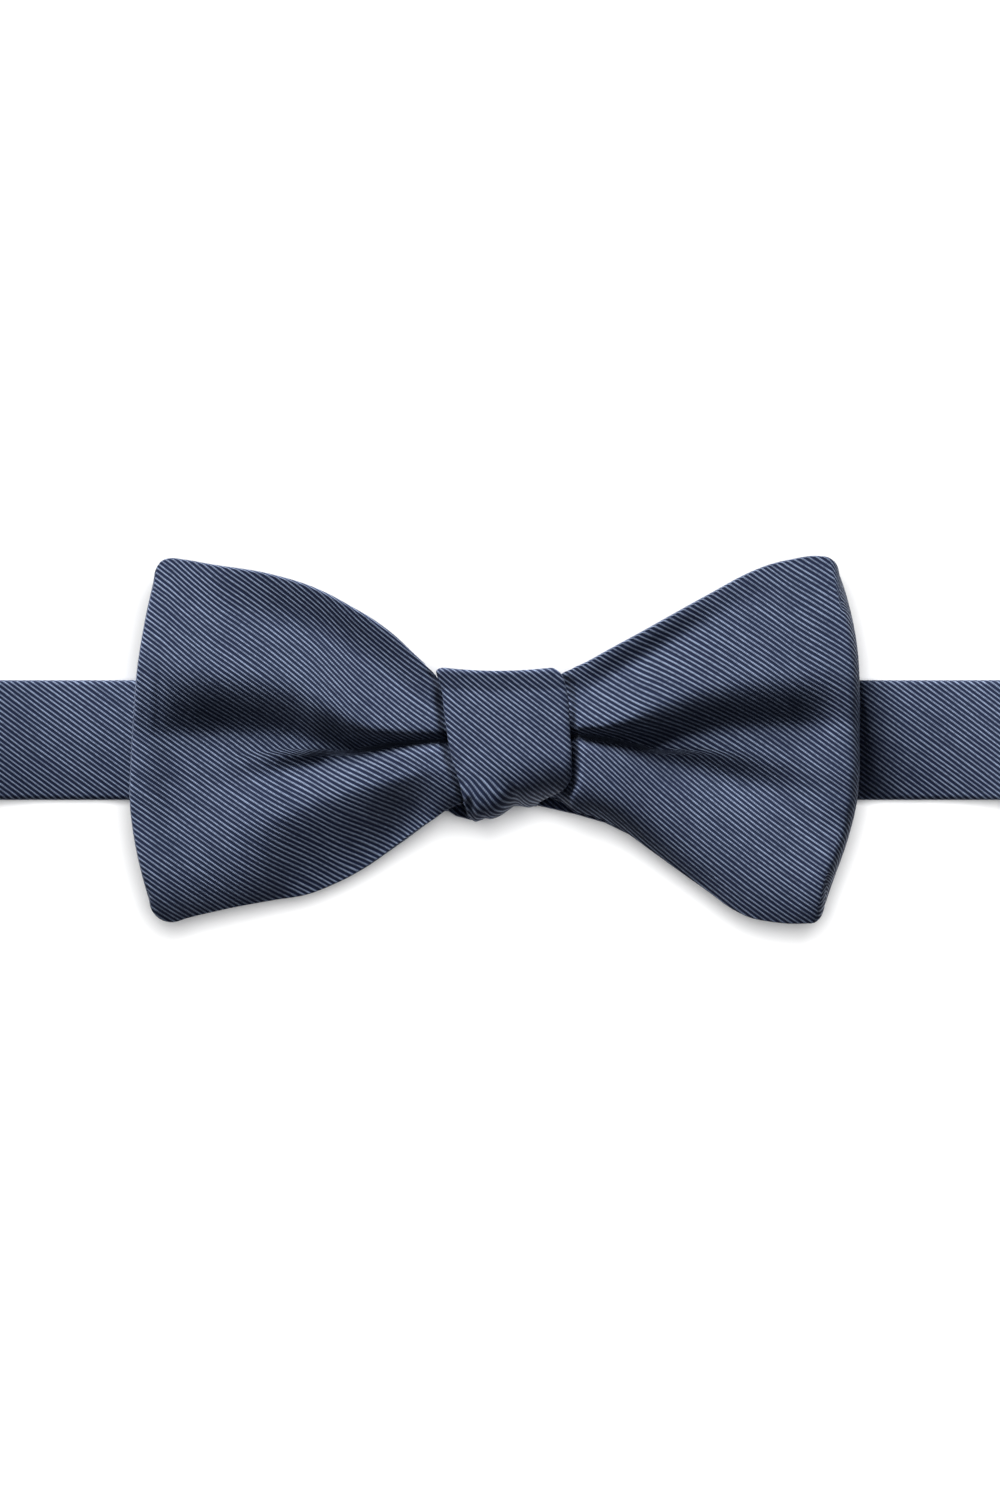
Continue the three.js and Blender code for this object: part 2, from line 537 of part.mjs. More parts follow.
// Middle of the band's thickness, and the way its outer face looks, round the
// whole loop: out to the right on top, round the bend, back below, and so on.
function bandPath() {
  const path = [];
  const frontRun = (x) => path.push({ x, z: frontRunLevel(x) + BAND_WALL / 2, nx: 0, nz: 1 });
  const returnRun = (x) => path.push({ x, z: returnRunLevel(x) + BAND_WALL / 2, nx: 0, nz: -1 });
  const bend = (side) => {
    const low = returnRunLevel(side * HALF_RUN) + BAND_WALL / 2;
    const high = frontRunLevel(side * HALF_RUN) + BAND_WALL / 2;
    const radius = (high - low) / 2;
    for (let k = 0; k <= BEND_STEPS; k++) {
      const angle = side * Math.PI * (0.5 - k / BEND_STEPS);
      const nx = Math.cos(angle) * side;
      const nz = Math.sin(angle);
      path.push({ x: side * HALF_RUN + radius * nx, z: (high + low) / 2 + radius * nz, nx, nz });
    }
  };
  const mirrored = (stations) => [...stations].reverse().map((x) => -x);
  FRONT_RUN_STATIONS.forEach(frontRun);
  bend(1);
  RETURN_RUN_STATIONS.forEach(returnRun);
  bend(-1);
  mirrored(FRONT_RUN_STATIONS).slice(0, -1).forEach(frontRun);
  return path;
}

function neckBand() {
  const path = bandPath();
  const grid = (offset) => path.map(({ x, z, nx, nz }) => {
    const y = bandHalfWidth(x);
    return [-y, y].map((edge) => new THREE.Vector3(x + nx * offset, edge, z + nz * offset));
  });
  return clothSolid(grid(BAND_WALL / 2), grid(-BAND_WALL / 2), true);
}

// The clasp: one plain metal sleeve that closes the band on its return run.
const CLASP_MARGIN = 0.9;
const CLASP_CORNER = 0.8;

function bandClasp() {
  const halfHole = BAND_WIDTH / 2 + CLEARANCE;
  const hole = BAND_WALL + 2 * CLEARANCE;
  const halfOut = halfHole + CLASP_MARGIN;
  const height = hole + 2 * CLASP_WALL;
  const corner = CLASP_CORNER;
  const shape = new THREE.Shape();
  const quarter = Math.PI / 2;
  shape.moveTo(-halfOut + corner, 0);
  shape.lineTo(halfOut - corner, 0);
  shape.absarc(halfOut - corner, corner, corner, -quarter, 0, false);
  shape.lineTo(halfOut, height - corner);
  shape.absarc(halfOut - corner, height - corner, corner, 0, quarter, false);
  shape.lineTo(-halfOut + corner, height);
  shape.absarc(-halfOut + corner, height - corner, corner, quarter, 2 * quarter, false);
  shape.lineTo(-halfOut, corner);
  shape.absarc(-halfOut + corner, corner, corner, 2 * quarter, 3 * quarter, false);
  const slot = new THREE.Path();
  slot.moveTo(-halfHole, CLASP_WALL);
  slot.lineTo(-halfHole, CLASP_WALL + hole);
  slot.lineTo(halfHole, CLASP_WALL + hole);
  slot.lineTo(halfHole, CLASP_WALL);
  slot.closePath();
  shape.holes.push(slot);
  const geometry = new THREE.ExtrudeGeometry(shape, {
    depth: CLASP_LENGTH,
    bevelEnabled: false,
    curveSegments: 4,
  });
  // The outline is drawn across and up, and extruded along the band.
  geometry.translate(0, 0, -CLASP_LENGTH / 2);
  geometry.rotateX(Math.PI / 2);
  geometry.rotateZ(Math.PI / 2);
  geometry.translate(CLASP_X, 0, 0);
  return geometry;
}

function cloth(name, geometry) {
  const material = new THREE.MeshStandardMaterial({ color: TWILL_BLUE, roughness: 0.75, metalness: 0 });
  const mesh = new THREE.Mesh(geometry, material);
  mesh.name = name;
  return mesh;
}

function metal(name, geometry) {
  const material = new THREE.MeshStandardMaterial({ color: STEEL, roughness: 0.3, metalness: 1 });
  const mesh = new THREE.Mesh(geometry, material);
  mesh.name = name;
  return mesh;
}

const bowTie = new THREE.Group();
bowTie.add(cloth("bow_front_loop", bowFront()));
bowTie.add(cloth("bow_back_blade", bowBack()));
bowTie.add(cloth("knot_wrap", knotWrap()));
bowTie.add(cloth("neck_band", neckBand()));
bowTie.add(metal("band_clasp", bandClasp()));

export default bowTie;
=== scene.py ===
"""Looks of a pre-tied bow tie that lies on its back, seen from straight above.

Lengths are in millimetres where nothing else is said, along the frame's own axes:
+X to the right of the bow, +Y to its top edge, +Z up. Meshes are made in metres.
"""

import math

import bpy
import numpy as np
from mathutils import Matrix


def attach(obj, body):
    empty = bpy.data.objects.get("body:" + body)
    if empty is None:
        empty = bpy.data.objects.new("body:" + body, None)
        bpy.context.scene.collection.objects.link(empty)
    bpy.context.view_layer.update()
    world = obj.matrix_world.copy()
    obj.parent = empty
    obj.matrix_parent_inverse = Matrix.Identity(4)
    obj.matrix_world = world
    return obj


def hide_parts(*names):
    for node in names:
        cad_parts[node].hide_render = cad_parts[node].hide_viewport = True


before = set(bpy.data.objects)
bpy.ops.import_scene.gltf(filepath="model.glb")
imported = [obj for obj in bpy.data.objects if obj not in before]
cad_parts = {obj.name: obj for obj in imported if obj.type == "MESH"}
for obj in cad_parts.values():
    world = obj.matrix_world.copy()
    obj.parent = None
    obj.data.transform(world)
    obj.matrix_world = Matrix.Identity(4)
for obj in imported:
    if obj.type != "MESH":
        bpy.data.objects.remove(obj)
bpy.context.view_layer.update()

MM = 0.001

# The photograph's frame, 2 wide to 3 high, on the plane of the bow, and the camera
# over it. The camera sees as far as SIGHT_END, in metres.
PHOTO_WIDTH = 164.2
PHOTO_HEIGHT = 1.5 * PHOTO_WIDTH
PHOTO_MIDDLE = (0.9, -1.64)
BOW_PLANE = 13.0
CAMERA_DISTANCE = 1600.0
SENSOR_HEIGHT = 24.0
SIGHT_END = 20.0

# Softboxes: degrees round from +X and up from the floor, distance and size in
# metres, power in watts
SOFTBOXES = {
    "key_softbox": {"azimuth": 106, "elevation": 28, "distance": 1.2, "size": 0.42,
                    "power": 40.8, "colour": (1.0, 0.985, 0.96)},
    "top_softbox": {"azimuth": 90, "elevation": 84, "distance": 1.3, "size": 0.9,
                    "power": 1.0, "colour": (1.0, 1.0, 1.0)},
    "floor_softbox": {"azimuth": 90, "elevation": 81, "distance": 1.2, "size": 0.75,
                      "power": 23.5, "colour": (1.0, 1.0, 1.0)},
}
WORLD_COLOUR = (0.93, 0.96, 1.0, 1.0)
WORLD_STRENGTH = 0.04

# The floor: half its side in metres, and how it looks
FLOOR_HALF = 2.5
FLOOR_LOOK = {
    "Base Color": (0.9, 0.9, 0.9, 1),
    "Roughness": 0.9,
    "Specular IOR Level": 0.1,
}

# Cloth thickness of each piece
LOOP_WALL = 1.15
BLADE_WALL = 1.3
KNOT_WALL = 1.2
BAND_WALL = 1.3

# The band's width and its length round, half the bow's width, and the gap between
# the blade and the loop
BAND_WIDTH = 19.8
BAND_LENGTH = 424.0
HALF_WIDTH = 60.0
CLEARANCE = 0.3

# Height of each piece's underside. The blade and the loop go from the level that
# they have in the middle to that of the wings, past MIDDLE_REACH from the middle.
KNOT_UNDERSIDE = 1.7
BAND_FRONT_LEVEL = 3.3
BLADE_LEVEL_MIDDLE = 5.0
LOOP_LEVEL_MIDDLE = 6.7
LOOP_LEVEL_WING = 7.0
MIDDLE_REACH = 8.0
LEVEL_CHANGE_LENGTH = 14.0

# How far the walls behind the wings hang down beside the band. The droop starts at
# DROOP_EDGE in y and DROOP_START in x.
DROOP = 2.4
DROOP_EDGE = 11.0
DROOP_WIDTH = 12.0
DROOP_START = 13.0
DROOP_LENGTH = 12.0

# Twill: ribs go down to the right across the cloth, at these angles in degrees
RIB_PITCH = 0.70
RIB_ANGLE = 35.5
BLADE_RIB_ANGLE = RIB_ANGLE + 4
KNOT_RIB_ANGLE = 39.0
BAND_RIB_ANGLE = RIB_ANGLE + 0.5
CLOTH_UV = "cloth"


# Camera, light and floor

def make_camera():
    data = bpy.data.cameras.new("camera")
    data.sensor_fit = "VERTICAL"
    data.sensor_height = SENSOR_HEIGHT
    data.lens = SENSOR_HEIGHT * CAMERA_DISTANCE / PHOTO_HEIGHT
    data.clip_end = SIGHT_END
    camera = bpy.data.objects.new("camera", data)
    x, y = PHOTO_MIDDLE
    camera.location = (x * MM, y * MM, (BOW_PLANE + CAMERA_DISTANCE) * MM)
    bpy.context.scene.collection.objects.link(camera)
    bpy.context.scene.camera = camera


def make_softbox(name, lit):
    """A square softbox that faces the frame's origin. It lights the collection lit."""
    box = SOFTBOXES[name]
    data = bpy.data.lights.new(name, "AREA")
    data.shape = "SQUARE"
    data.size = box["size"]
    data.energy = box["power"]
    data.color = box["colour"]
    light = bpy.data.objects.new(name, data)
    turn, rise = math.radians(box["azimuth"]), math.radians(box["elevation"])
    light.location = (
        box["distance"] * math.cos(rise) * math.cos(turn),
        box["distance"] * math.cos(rise) * math.sin(turn),
        box["distance"] * math.sin(rise),
    )
    light.rotation_euler = (math.pi / 2 - rise, 0, turn + math.pi / 2)
    light.light_linking.receiver_collection = lit
    bpy.context.scene.collection.objects.link(light)


def make_light(tie, ground):
    make_softbox("key_softbox", tie)
    make_softbox("top_softbox", tie)
    make_softbox("floor_softbox", ground)
    world = bpy.data.worlds.new("studio")
    world.use_nodes = True
    background = world.node_tree.nodes["Background"]
    background.inputs["Color"].default_value = WORLD_COLOUR
    background.inputs["Strength"].default_value = WORLD_STRENGTH
    bpy.context.scene.world = world
    bpy.context.scene.view_settings.view_transform = "Standard"


def make_floor():
    low, high = -FLOOR_HALF, FLOOR_HALF
    corners = [(low, low, 0), (high, low, 0), (high, high, 0), (low, high, 0)]
    mesh = bpy.data.meshes.new("floor")
    mesh.from_pydata(corners, [], [(0, 1, 2, 3)])
    floor = bpy.data.objects.new("floor", mesh)
    bpy.context.scene.collection.objects.link(floor)
    material = new_material("floor_white")
    Graph(material).look(FLOOR_LOOK)
    floor.data.materials.append(material)
    return floor


# Smooth curves through short tables

def smooth_step(t):
    t = np.clip(t, 0.0, 1.0)
    return t * t * (3 - 2 * t)


def lerp(a, b, t):
    return a + (b - a) * t


def curve_through(points, at):
    """Cubic through the points (position, value), level beyond its ends."""
    xs = np.array([p[0] for p in points], float)
    ys = np.array([p[1] for p in points], float)
    run = np.diff(xs)
    slope = np.diff(ys) / run
    tangent = np.empty(len(xs))
    tangent[0] = slope[0]
    tangent[-1] = slope[-1]
    tangent[1:-1] = (slope[:-1] * run[1:] + slope[1:] * run[:-1]) / (run[:-1] + run[1:])
    q = np.clip(np.asarray(at, float), xs[0], xs[-1])
    i = np.clip(np.searchsorted(xs, q, side="right") - 1, 0, len(run) - 1)
    t = (q - xs[i]) / run[i]
    return (
        (2 * t**3 - 3 * t**2 + 1) * ys[i]
        + (t**3 - 2 * t**2 + t) * run[i] * tangent[i]
        + (3 * t**2 - 2 * t**3) * ys[i + 1]
        + (t**3 - t**2) * run[i] * tangent[i + 1]
    )


def column(columns, rows, name):
    """The named column of a table as points (position, value)."""
    k = columns.index(name)
    return [(row[0], row[k]) for row in rows]


def lengths_along(a, b):
    """Distance along a line of points (a, b) from its first one."""
    return np.concatenate([[0], np.cumsum(np.hypot(np.diff(a), np.diff(b)))])


# The loop of the bow

# Sections across each wing by the distance out. From the top edge down they hold
# the hem and the edge, the upper ridge, the main crease, the shelf, the lower
# crease, the lower ridge, where the wall starts to fall, and the bottom edge.
# low_slope is 0 where the wall falls late and 1 where it falls at once.
SECTION_COLUMNS = [
    "out", "hem_rise", "top_z", "up_y", "up_z", "crease_y", "crease_z", "shelf_y", "shelf_z",
    "low_crease_y", "low_crease_z", "low_y", "low_z", "fall_y", "bottom_z", "low_slope",
]
LEFT_SECTIONS = [
    [0, 0, 14.8, 2.0, 15.4, 0.2, 13.6, 0.0, 13.6, -0.3, 13.6, -2.4, 15.0, -4.0, 12.2, 0],
    [9.5, 0.8, 15.2, 1.6, 16.0, 0.1, 14.7, -0.2, 14.4, -0.4, 14.4, -1.8, 15.1, -5.0, 12.5, 0.6],
    [12, 1.2, 15.4, 1.5, 16.1, 0.0, 14.6, -0.3, 14.3, -0.5, 14.3, -2.0, 15.0, -5.2, 11.9, 0.9],
    [14, 1.5, 15.5, 1.5, 16.2, -0.1, 14.5, -0.4, 14.1, -0.7, 14.1, -2.4, 14.8, -5.8, 11.0, 1],
    [17.2, 1.9, 15.6, 1.7, 16.3, -0.4, 14.0, -0.8, 13.7, -1.2, 13.7, -3.3, 14.4, -6.6, 9.6, 1],
    [20.5, 2.1, 15.8, 2.4, 16.4, -0.9, 13.4, -1.4, 13.1, -2.0, 13.1, -4.8, 13.8, -7.4, 8.6, 0.9],
    [23.7, 2.2, 16.0, 4.0, 16.6, -1.3, 12.7, -1.9, 12.4, -2.7, 12.3, -6.4, 13.0, -8.2, 7.8, 0.85],
    [27, 2.3, 16.2, 6.2, 16.8, -0.7, 12.8, -1.3, 12.7, -3.3, 11.7, -8.0, 12.35, -9.4, 7.5, 0.8],
    [30.3, 2.3, 16.3, 8.0, 16.9, -0.2, 13.2, -1.5, 13.1, -4.1, 11.6, -9.5, 12.2, -10.5, 7.4, 0.75],
    [33.6, 2.1, 16.5, 9.8, 17.0, 0.7, 13.0, -1.8, 12.8, -4.7, 11.6, -11.0, 12.15, -12.0, 7.5, 0.7],
    [37, 1.9, 16.7, 10.6, 17.1, 1.1, 12.9, -2.2, 12.7, -5.5, 12.0, -12.0, 12.5, -13.0, 8.0, 0.5],
    [42, 1.5, 17.0, 11.4, 17.3, 1.2, 12.6, -3.0, 12.5, -6.7, 12.2, -13.0, 12.5, -14.0, 9.0, 0.25],
    [48, 0.9, 17.1, 12.0, 17.3, 1.2, 12.3, -3.6, 12.3, -7.6, 12.2, -14.0, 12.2, -15.0, 9.4, 0.1],
    [53, 0.3, 17.0, 12.6, 17.1, 1.0, 13.2, -4.0, 13.0, -8.0, 12.8, -14.5, 12.6, -15.5, 9.8, 0],
    [57, 0.1, 16.9, 13.4, 16.95, 0.8, 14.6, -4.2, 14.4, -8.2, 14.2, -15.0, 13.9, -16.0, 11.2, 0],
    [60, 0, 16.7, 14.0, 16.8, 0.8, 15.0, -4.2, 14.8, -8.2, 14.6, -15.0, 14.2, -16.0, 12.0, 0],
]
RIGHT_SECTIONS = [
    [0, 0, 14.8, 2.0, 15.4, 0.2, 13.6, 0.0, 13.6, -0.3, 13.6, -2.4, 15.0, -4.0, 12.2, 0],
    [12.6, 0.9, 15.0, 2.0, 15.9, 1.0, 14.5, 0.7, 14.1, 0.4, 14.1, -1.0, 15.0, -4.0, 12.8, 0],
    [14.5, 1.1, 15.2, 2.0, 16.0, 0.9, 14.3, 0.6, 13.9, 0.3, 13.9, -1.3, 14.8, -4.4, 12.4, 0],
    [17.3, 1.3, 15.4, 2.2, 16.2, 0.6, 13.9, 0.3, 13.6, -0.1, 13.6, -2.0, 14.5, -5.4, 11.6, 0],
    [20.6, 1.4, 15.7, 3.2, 16.4, 0.1, 13.2, -0.3, 13.1, -0.8, 13.1, -3.6, 14.0, -6.8, 10.8, 0],
    [23.9, 1.4, 16.0, 4.7, 16.7, -0.5, 12.7, -1.0, 12.6, -1.9, 12.4, -6.0, 13.3, -8.4, 10.2, 0],
    [27.2, 1.4, 16.4, 6.4, 16.9, -0.5, 12.8, -1.2, 12.7, -3.3, 11.9, -8.8, 12.6, -9.8, 9.6, 0],
    [30.5, 1.3, 16.6, 7.8, 17.1, 0.4, 13.2, -0.7, 13.1, -4.3, 11.6, -10.0, 12.2, -11.0, 9.4, 0],
    [33.7, 1.1, 16.8, 8.9, 17.2, 1.2, 13.3, -0.7, 13.2, -5.2, 11.4, -11.0, 12.0, -12.0, 9.4, 0],
    [37, 0.7, 17.0, 9.6, 17.3, 1.9, 13.4, -1.1, 13.3, -6.2, 11.4, -12.0, 12.0, -13.0, 9.5, 0],
    [42, 0.4, 17.1, 10.4, 17.5, 2.2, 13.5, -1.9, 13.4, -7.5, 11.6, -13.0, 12.1, -14.0, 9.8, 0],
    [47, 0.2, 17.1, 10.8, 17.4, 2.4, 13.5, -3.0, 13.5, -8.7, 12.2, -14.0, 12.4, -15.0, 10.2, 0],
    [50.2, 0.1, 17.0, 11.0, 17.3, 2.5, 13.4, -3.8, 13.4, -9.4, 12.6, -14.6, 12.6, -15.6, 10.5, 0],
    [54, 0, 16.7, 11.4, 16.9, 2.6, 14.1, -4.4, 14.0, -9.8, 13.4, -15.0, 13.0, -16.0, 10.8, 0],
    [57, 0, 16.3, 11.8, 16.5, 2.7, 14.9, -4.6, 14.6, -10.0, 14.0, -15.4, 13.3, -16.4, 11.2, 0],
    [60, 0, 15.9, 12.0, 16.1, 2.7, 15.0, -4.6, 14.7, -10.0, 14.1, -15.4, 13.4, -16.4, 11.4, 0],
]

# Outline of each wing: the long edges as (out, y), the outer fold as
# (share of the height, out)
LEFT_OUTLINE = {
    "top": [(0, 8.3), (8.4, 8.9), (9.1, 9.9), (9.9, 10.9), (11.5, 12.3), (13.5, 14.1), (16.2, 16.6),
            (20.4, 19.7), (23.7, 21.6), (27, 23.4), (30.3, 24.9), (36.9, 26.9), (46.7, 28.6),
            (51, 29.4), (53.4, 29.6), (54.4, 29.3), (55.1, 28.7), (55.6, 27.7), (55.9, 26.6)],
    "bottom": [(0, -8.6), (4.2, -10), (7.3, -11.1), (9.8, -12.8), (12.2, -14.3), (15.5, -16.7),
               (20.4, -20.3), (23.7, -22.3), (27, -23.9), (30.3, -25.2), (36.9, -26.4),
               (43.4, -27.6), (50, -29.1), (53.4, -29.9), (54.8, -29.5), (55.9, -28.6),
               (56.5, -27.6), (56.8, -26.6)],
    "fold": [(0, 56.8), (0.09, 58.1), (0.21, 59.4), (0.32, 60), (0.44, 59.8), (0.565, 59.4),
             (0.72, 58.7), (0.9, 57.1), (1, 55.9)],
}
RIGHT_OUTLINE = {
    "top": [(0, 8.3), (9.6, 8.9), (10.2, 9.8), (10.9, 10.7), (12.6, 11.5), (14.5, 12.3),
            (18.6, 14.5), (23.6, 17.2), (28.8, 20.1), (35.4, 23.8), (41.9, 27.3), (45.2, 28.6),
            (48.5, 29.4), (53.4, 30), (55.1, 29.7), (55.9, 29.1), (56.4, 28.3), (56.7, 27.3)],
    "bottom": [(0, -8.6), (8.5, -9.2), (10.3, -9.6), (11.4, -10.4), (12.5, -11.4), (13.6, -11.9),
               (16, -12.5), (18.6, -13.5), (21.3, -15), (25.2, -17.8), (28.8, -20.4),
               (35.4, -25.1), (38.7, -27.5), (41.9, -29.1), (45.2, -29.8), (51.2, -30.1),
               (52.8, -29.9), (53.6, -29.2), (54.1, -28.2), (54.4, -27.2)],
    "fold": [(0, 54.4), (0.094, 56.2), (0.215, 58.4), (0.3, 59.5), (0.39, 60), (0.52, 60),
             (0.685, 60), (0.77, 59.7), (0.893, 58.5), (0.98, 57.1), (1, 56.7)],
}

# Cloth tucked out of sight in the main crease, on each side of it, as (out, mm)
TUCK = [(0, 4.3), (14, 4.3), (20, 3.3), (28, 1.6), (38, 0.3), (44, 0)]

# For each wing the knot's side edge as (y, distance out), the width of the hem's
# ridge and how far through its smooth rise it is at the edge, and where the outer
# fold starts and how square it is (1 is round)
WINGS = {
    "left": {"side": -1, "sections": LEFT_SECTIONS, "outline": LEFT_OUTLINE,
             "knot_edge": [(-11, 4.1), (-9, 5.0), (-5.2, 6.3), (-1.6, 7.35), (2, 7.9),
                           (5.6, 8.3), (9.2, 8.7), (10.4, 9.2)],
             "hem_width": 7.6, "hem_span": 0.8, "fold_out": 59.4, "fold_power": 0.5},
    "right": {"side": 1, "sections": RIGHT_SECTIONS, "outline": RIGHT_OUTLINE,
              "knot_edge": [(-9.4, 11.0), (-7, 12.3), (-5.3, 12.6), (2, 12.4), (7.4, 12.0),
                            (9.2, 11.5), (10.6, 10.9)],
              "hem_width": 4.8, "hem_span": 1.0, "fold_out": 58.0, "fold_power": 0.9},
}

# Powers that curve the walls of the folds and the fall to the bottom edge
WALL_CURVE = 1.25
EDGE_ROLL = 3.0

# The hem's ridge takes up no more than this share of the stretch over the upper
# ridge. A tuck's cloth goes out of sight over TUCK_SPREAD.
HEM_SHARE = 0.6
TUCK_SPREAD = 0.4

# Creases are rounded by a bell curve this wide, out to SOFTENING_REACH times that
CREASE_SOFTNESS = 0.45
SOFTENING_REACH = 3

# How far the knot presses the loop down, how far that reaches beside it, and the
# height under which it presses nothing
KNOT_PRESS = 3.4
KNOT_PRESS_WIDTH = 1.7
KNOT_PRESS_FLOOR = 9.2

# Height of the wall behind a wing over the height of its front
BACK_NARROWING = 0.97

# Points across the loop, and how much they crowd near its edges
LOOP_ROWS = 132
EDGE_CROWDING = 0.8
FINE_ROWS = 480

# Sections of a wing along its front, round its fold and along its back, and how
# far from the middle the first and the last of them lie
FRONT_STEPS = 96
FOLD_STEPS = 14
BACK_STEPS = 16
FRONT_START = 2.0
BACK_END = 6.0

# The least length and stretch that anything is divided by
LEAST_LENGTH = 1e-9
LEAST_STRETCH = 1e-6


def row_shares():
    """Shares of the wing's height at which the rows lie, closer near its edges."""
    t = np.linspace(0, 1, LOOP_ROWS)
    return lerp(t, (1 - np.cos(math.pi * t)) / 2, EDGE_CROWDING)


def share_between(y, low, high):
    """How far y has come from low to high, from 0 to 1."""
    return np.clip((y - low) / max(high - low, LEAST_STRETCH), 0, 1)


def fold_wall(t):
    """Rise of a fold's wall: steep near its crease, level at its ridge."""
    return np.sin(math.pi / 2 * t) ** WALL_CURVE


def hem_ridge(wing, at, top, y):
    """Rise of the ridge that the hem makes along the top edge."""
    width = min(wing["hem_width"], HEM_SHARE * (top - at["up_y"]))
    return at["hem_rise"] * smooth_step(wing["hem_span"] * share_between(y, top - width, top))


def section_profile(wing, at, bottom, top, y):
    """Height of the front wall at y, a curve for each stretch between the folds."""
    down = 1 - share_between(y, bottom, at["fall_y"])
    fall = lerp(down**EDGE_ROLL, fold_wall(down), at["low_slope"])
    to_low_ridge = fold_wall(1 - share_between(y, at["low_y"], at["low_crease_y"]))
    to_shelf = smooth_step(share_between(y, at["low_crease_y"], at["shelf_y"]))
    to_crease = share_between(y, at["shelf_y"], at["crease_y"])
    to_ridge = fold_wall(share_between(y, at["crease_y"], at["up_y"]))
    to_top = smooth_step(share_between(y, at["up_y"], top))
    return np.select(
        [y < at["low_y"], y < at["low_crease_y"], y < at["shelf_y"], y < at["crease_y"],
         y < at["up_y"]],
        [lerp(at["low_z"], at["bottom_z"], fall),
         lerp(at["low_crease_z"], at["low_z"], to_low_ridge),
         lerp(at["low_crease_z"], at["shelf_z"], to_shelf),
         lerp(at["shelf_z"], at["crease_z"], to_crease),
         lerp(at["crease_z"], at["up_z"], to_ridge)],
        lerp(at["up_z"], at["top_z"], to_top) + hem_ridge(wing, at, top, y),
    )


def soften(z, spacing):
    """Rounds a section's creases by less than the cloth's own thickness."""
    sigma = CREASE_SOFTNESS / spacing
    reach = int(math.ceil(SOFTENING_REACH * sigma))
    kernel = np.exp(-0.5 * (np.arange(-reach, reach + 1) / sigma) ** 2)
    kernel /= kernel.sum()
    start = 2 * z[0] - z[reach:0:-1]
    end = 2 * z[-1] - z[-2 : -reach - 2 : -1]
    return np.convolve(np.concatenate([start, z, end]), kernel, mode="valid")


def section_heights(wing, out, at_shares):
    """Height of the front wall across one section, at shares of its height, and
    the share at which its main valley lies."""
    at = {
        name: float(curve_through(column(SECTION_COLUMNS, wing["sections"], name), out))
        for name in SECTION_COLUMNS[1:]
    }
    top = float(curve_through(wing["outline"]["top"], out))
    bottom = float(curve_through(wing["outline"]["bottom"], out))
    shares = np.linspace(0, 1, FINE_ROWS)
    z = section_profile(wing, at, bottom, top, lerp(bottom, top, shares))
    soft = soften(z, (top - bottom) / (FINE_ROWS - 1))
    valley = ((at["crease_y"] + at["low_crease_y"]) / 2 - bottom) / (top - bottom)
    return np.interp(at_shares, shares, soft), valley


def fold_reach(wing, shares):
    """How far out the outer fold comes, at shares of the wing's height."""
    return curve_through(wing["outline"]["fold"], shares)


def plan_points(wing, out, shares, narrowing=1):
    """Plan positions of one section: x out from the middle, and y."""
    x = out * (fold_reach(wing, shares) / HALF_WIDTH)
    top = curve_through(wing["outline"]["top"], x)
    bottom = curve_through(wing["outline"]["bottom"], x)
    middle = (top + bottom) / 2
    half = (top - bottom) / 2 * narrowing
    return x, middle + half * (2 * shares - 1)


def knot_press(wing, out, y):
    """How far the knot presses the loop down beside and under it."""
    edge = curve_through(wing["knot_edge"], y)
    return KNOT_PRESS * (1 - smooth_step((out - edge) / KNOT_PRESS_WIDTH))


def wing_share(out):
    """From 0 in the middle of the bow to 1 in its wings."""
    return smooth_step((np.abs(out) - MIDDLE_REACH) / LEVEL_CHANGE_LENGTH)


def droop(x, y):
    """How far the walls behind the wings hang down at a point."""
    beside = smooth_step((np.abs(y) - DROOP_EDGE) / DROOP_WIDTH)
    return DROOP * beside * smooth_step((np.abs(x) - DROOP_START) / DROOP_LENGTH)


def loop_underside(out, y):
    return lerp(LOOP_LEVEL_MIDDLE, LOOP_LEVEL_WING, wing_share(out)) - droop(out, y)


def across(y, z, shares, valley, out):
    """Cloth coordinate across a section: where the main crease lies, plus the
    length of cloth from there, with what is tucked into the crease."""
    length = lengths_along(y, z)
    length -= np.interp(valley, shares, length)
    tuck = float(curve_through(TUCK, out))
    middle_y = np.interp(valley, shares, y)
    hidden = tuck * np.sign(length) * smooth_step(np.abs(length) / TUCK_SPREAD)
    return middle_y + length + hidden


def front_section(wing, out, shares):
    """Points x, y, z of one section of the front, and its cloth coordinate v."""
    z, valley = section_heights(wing, out, shares)
    x, y = plan_points(wing, out, shares)
    v = across(y, z, shares, valley, out)
    pressed = np.maximum(z - knot_press(wing, x, y), np.minimum(z, KNOT_PRESS_FLOOR))
    return x, y, pressed, v


def add_row(rows, side, x, y, z, v):
    """Adds a section whose cloth coordinate u goes on from the one before it."""
    before = rows[-1]
    step = np.hypot(side * x - before["x"], z - before["z"])
    rows.append({"x": side * x, "y": y, "z": z, "u": before["u"] + side * step, "v": v})


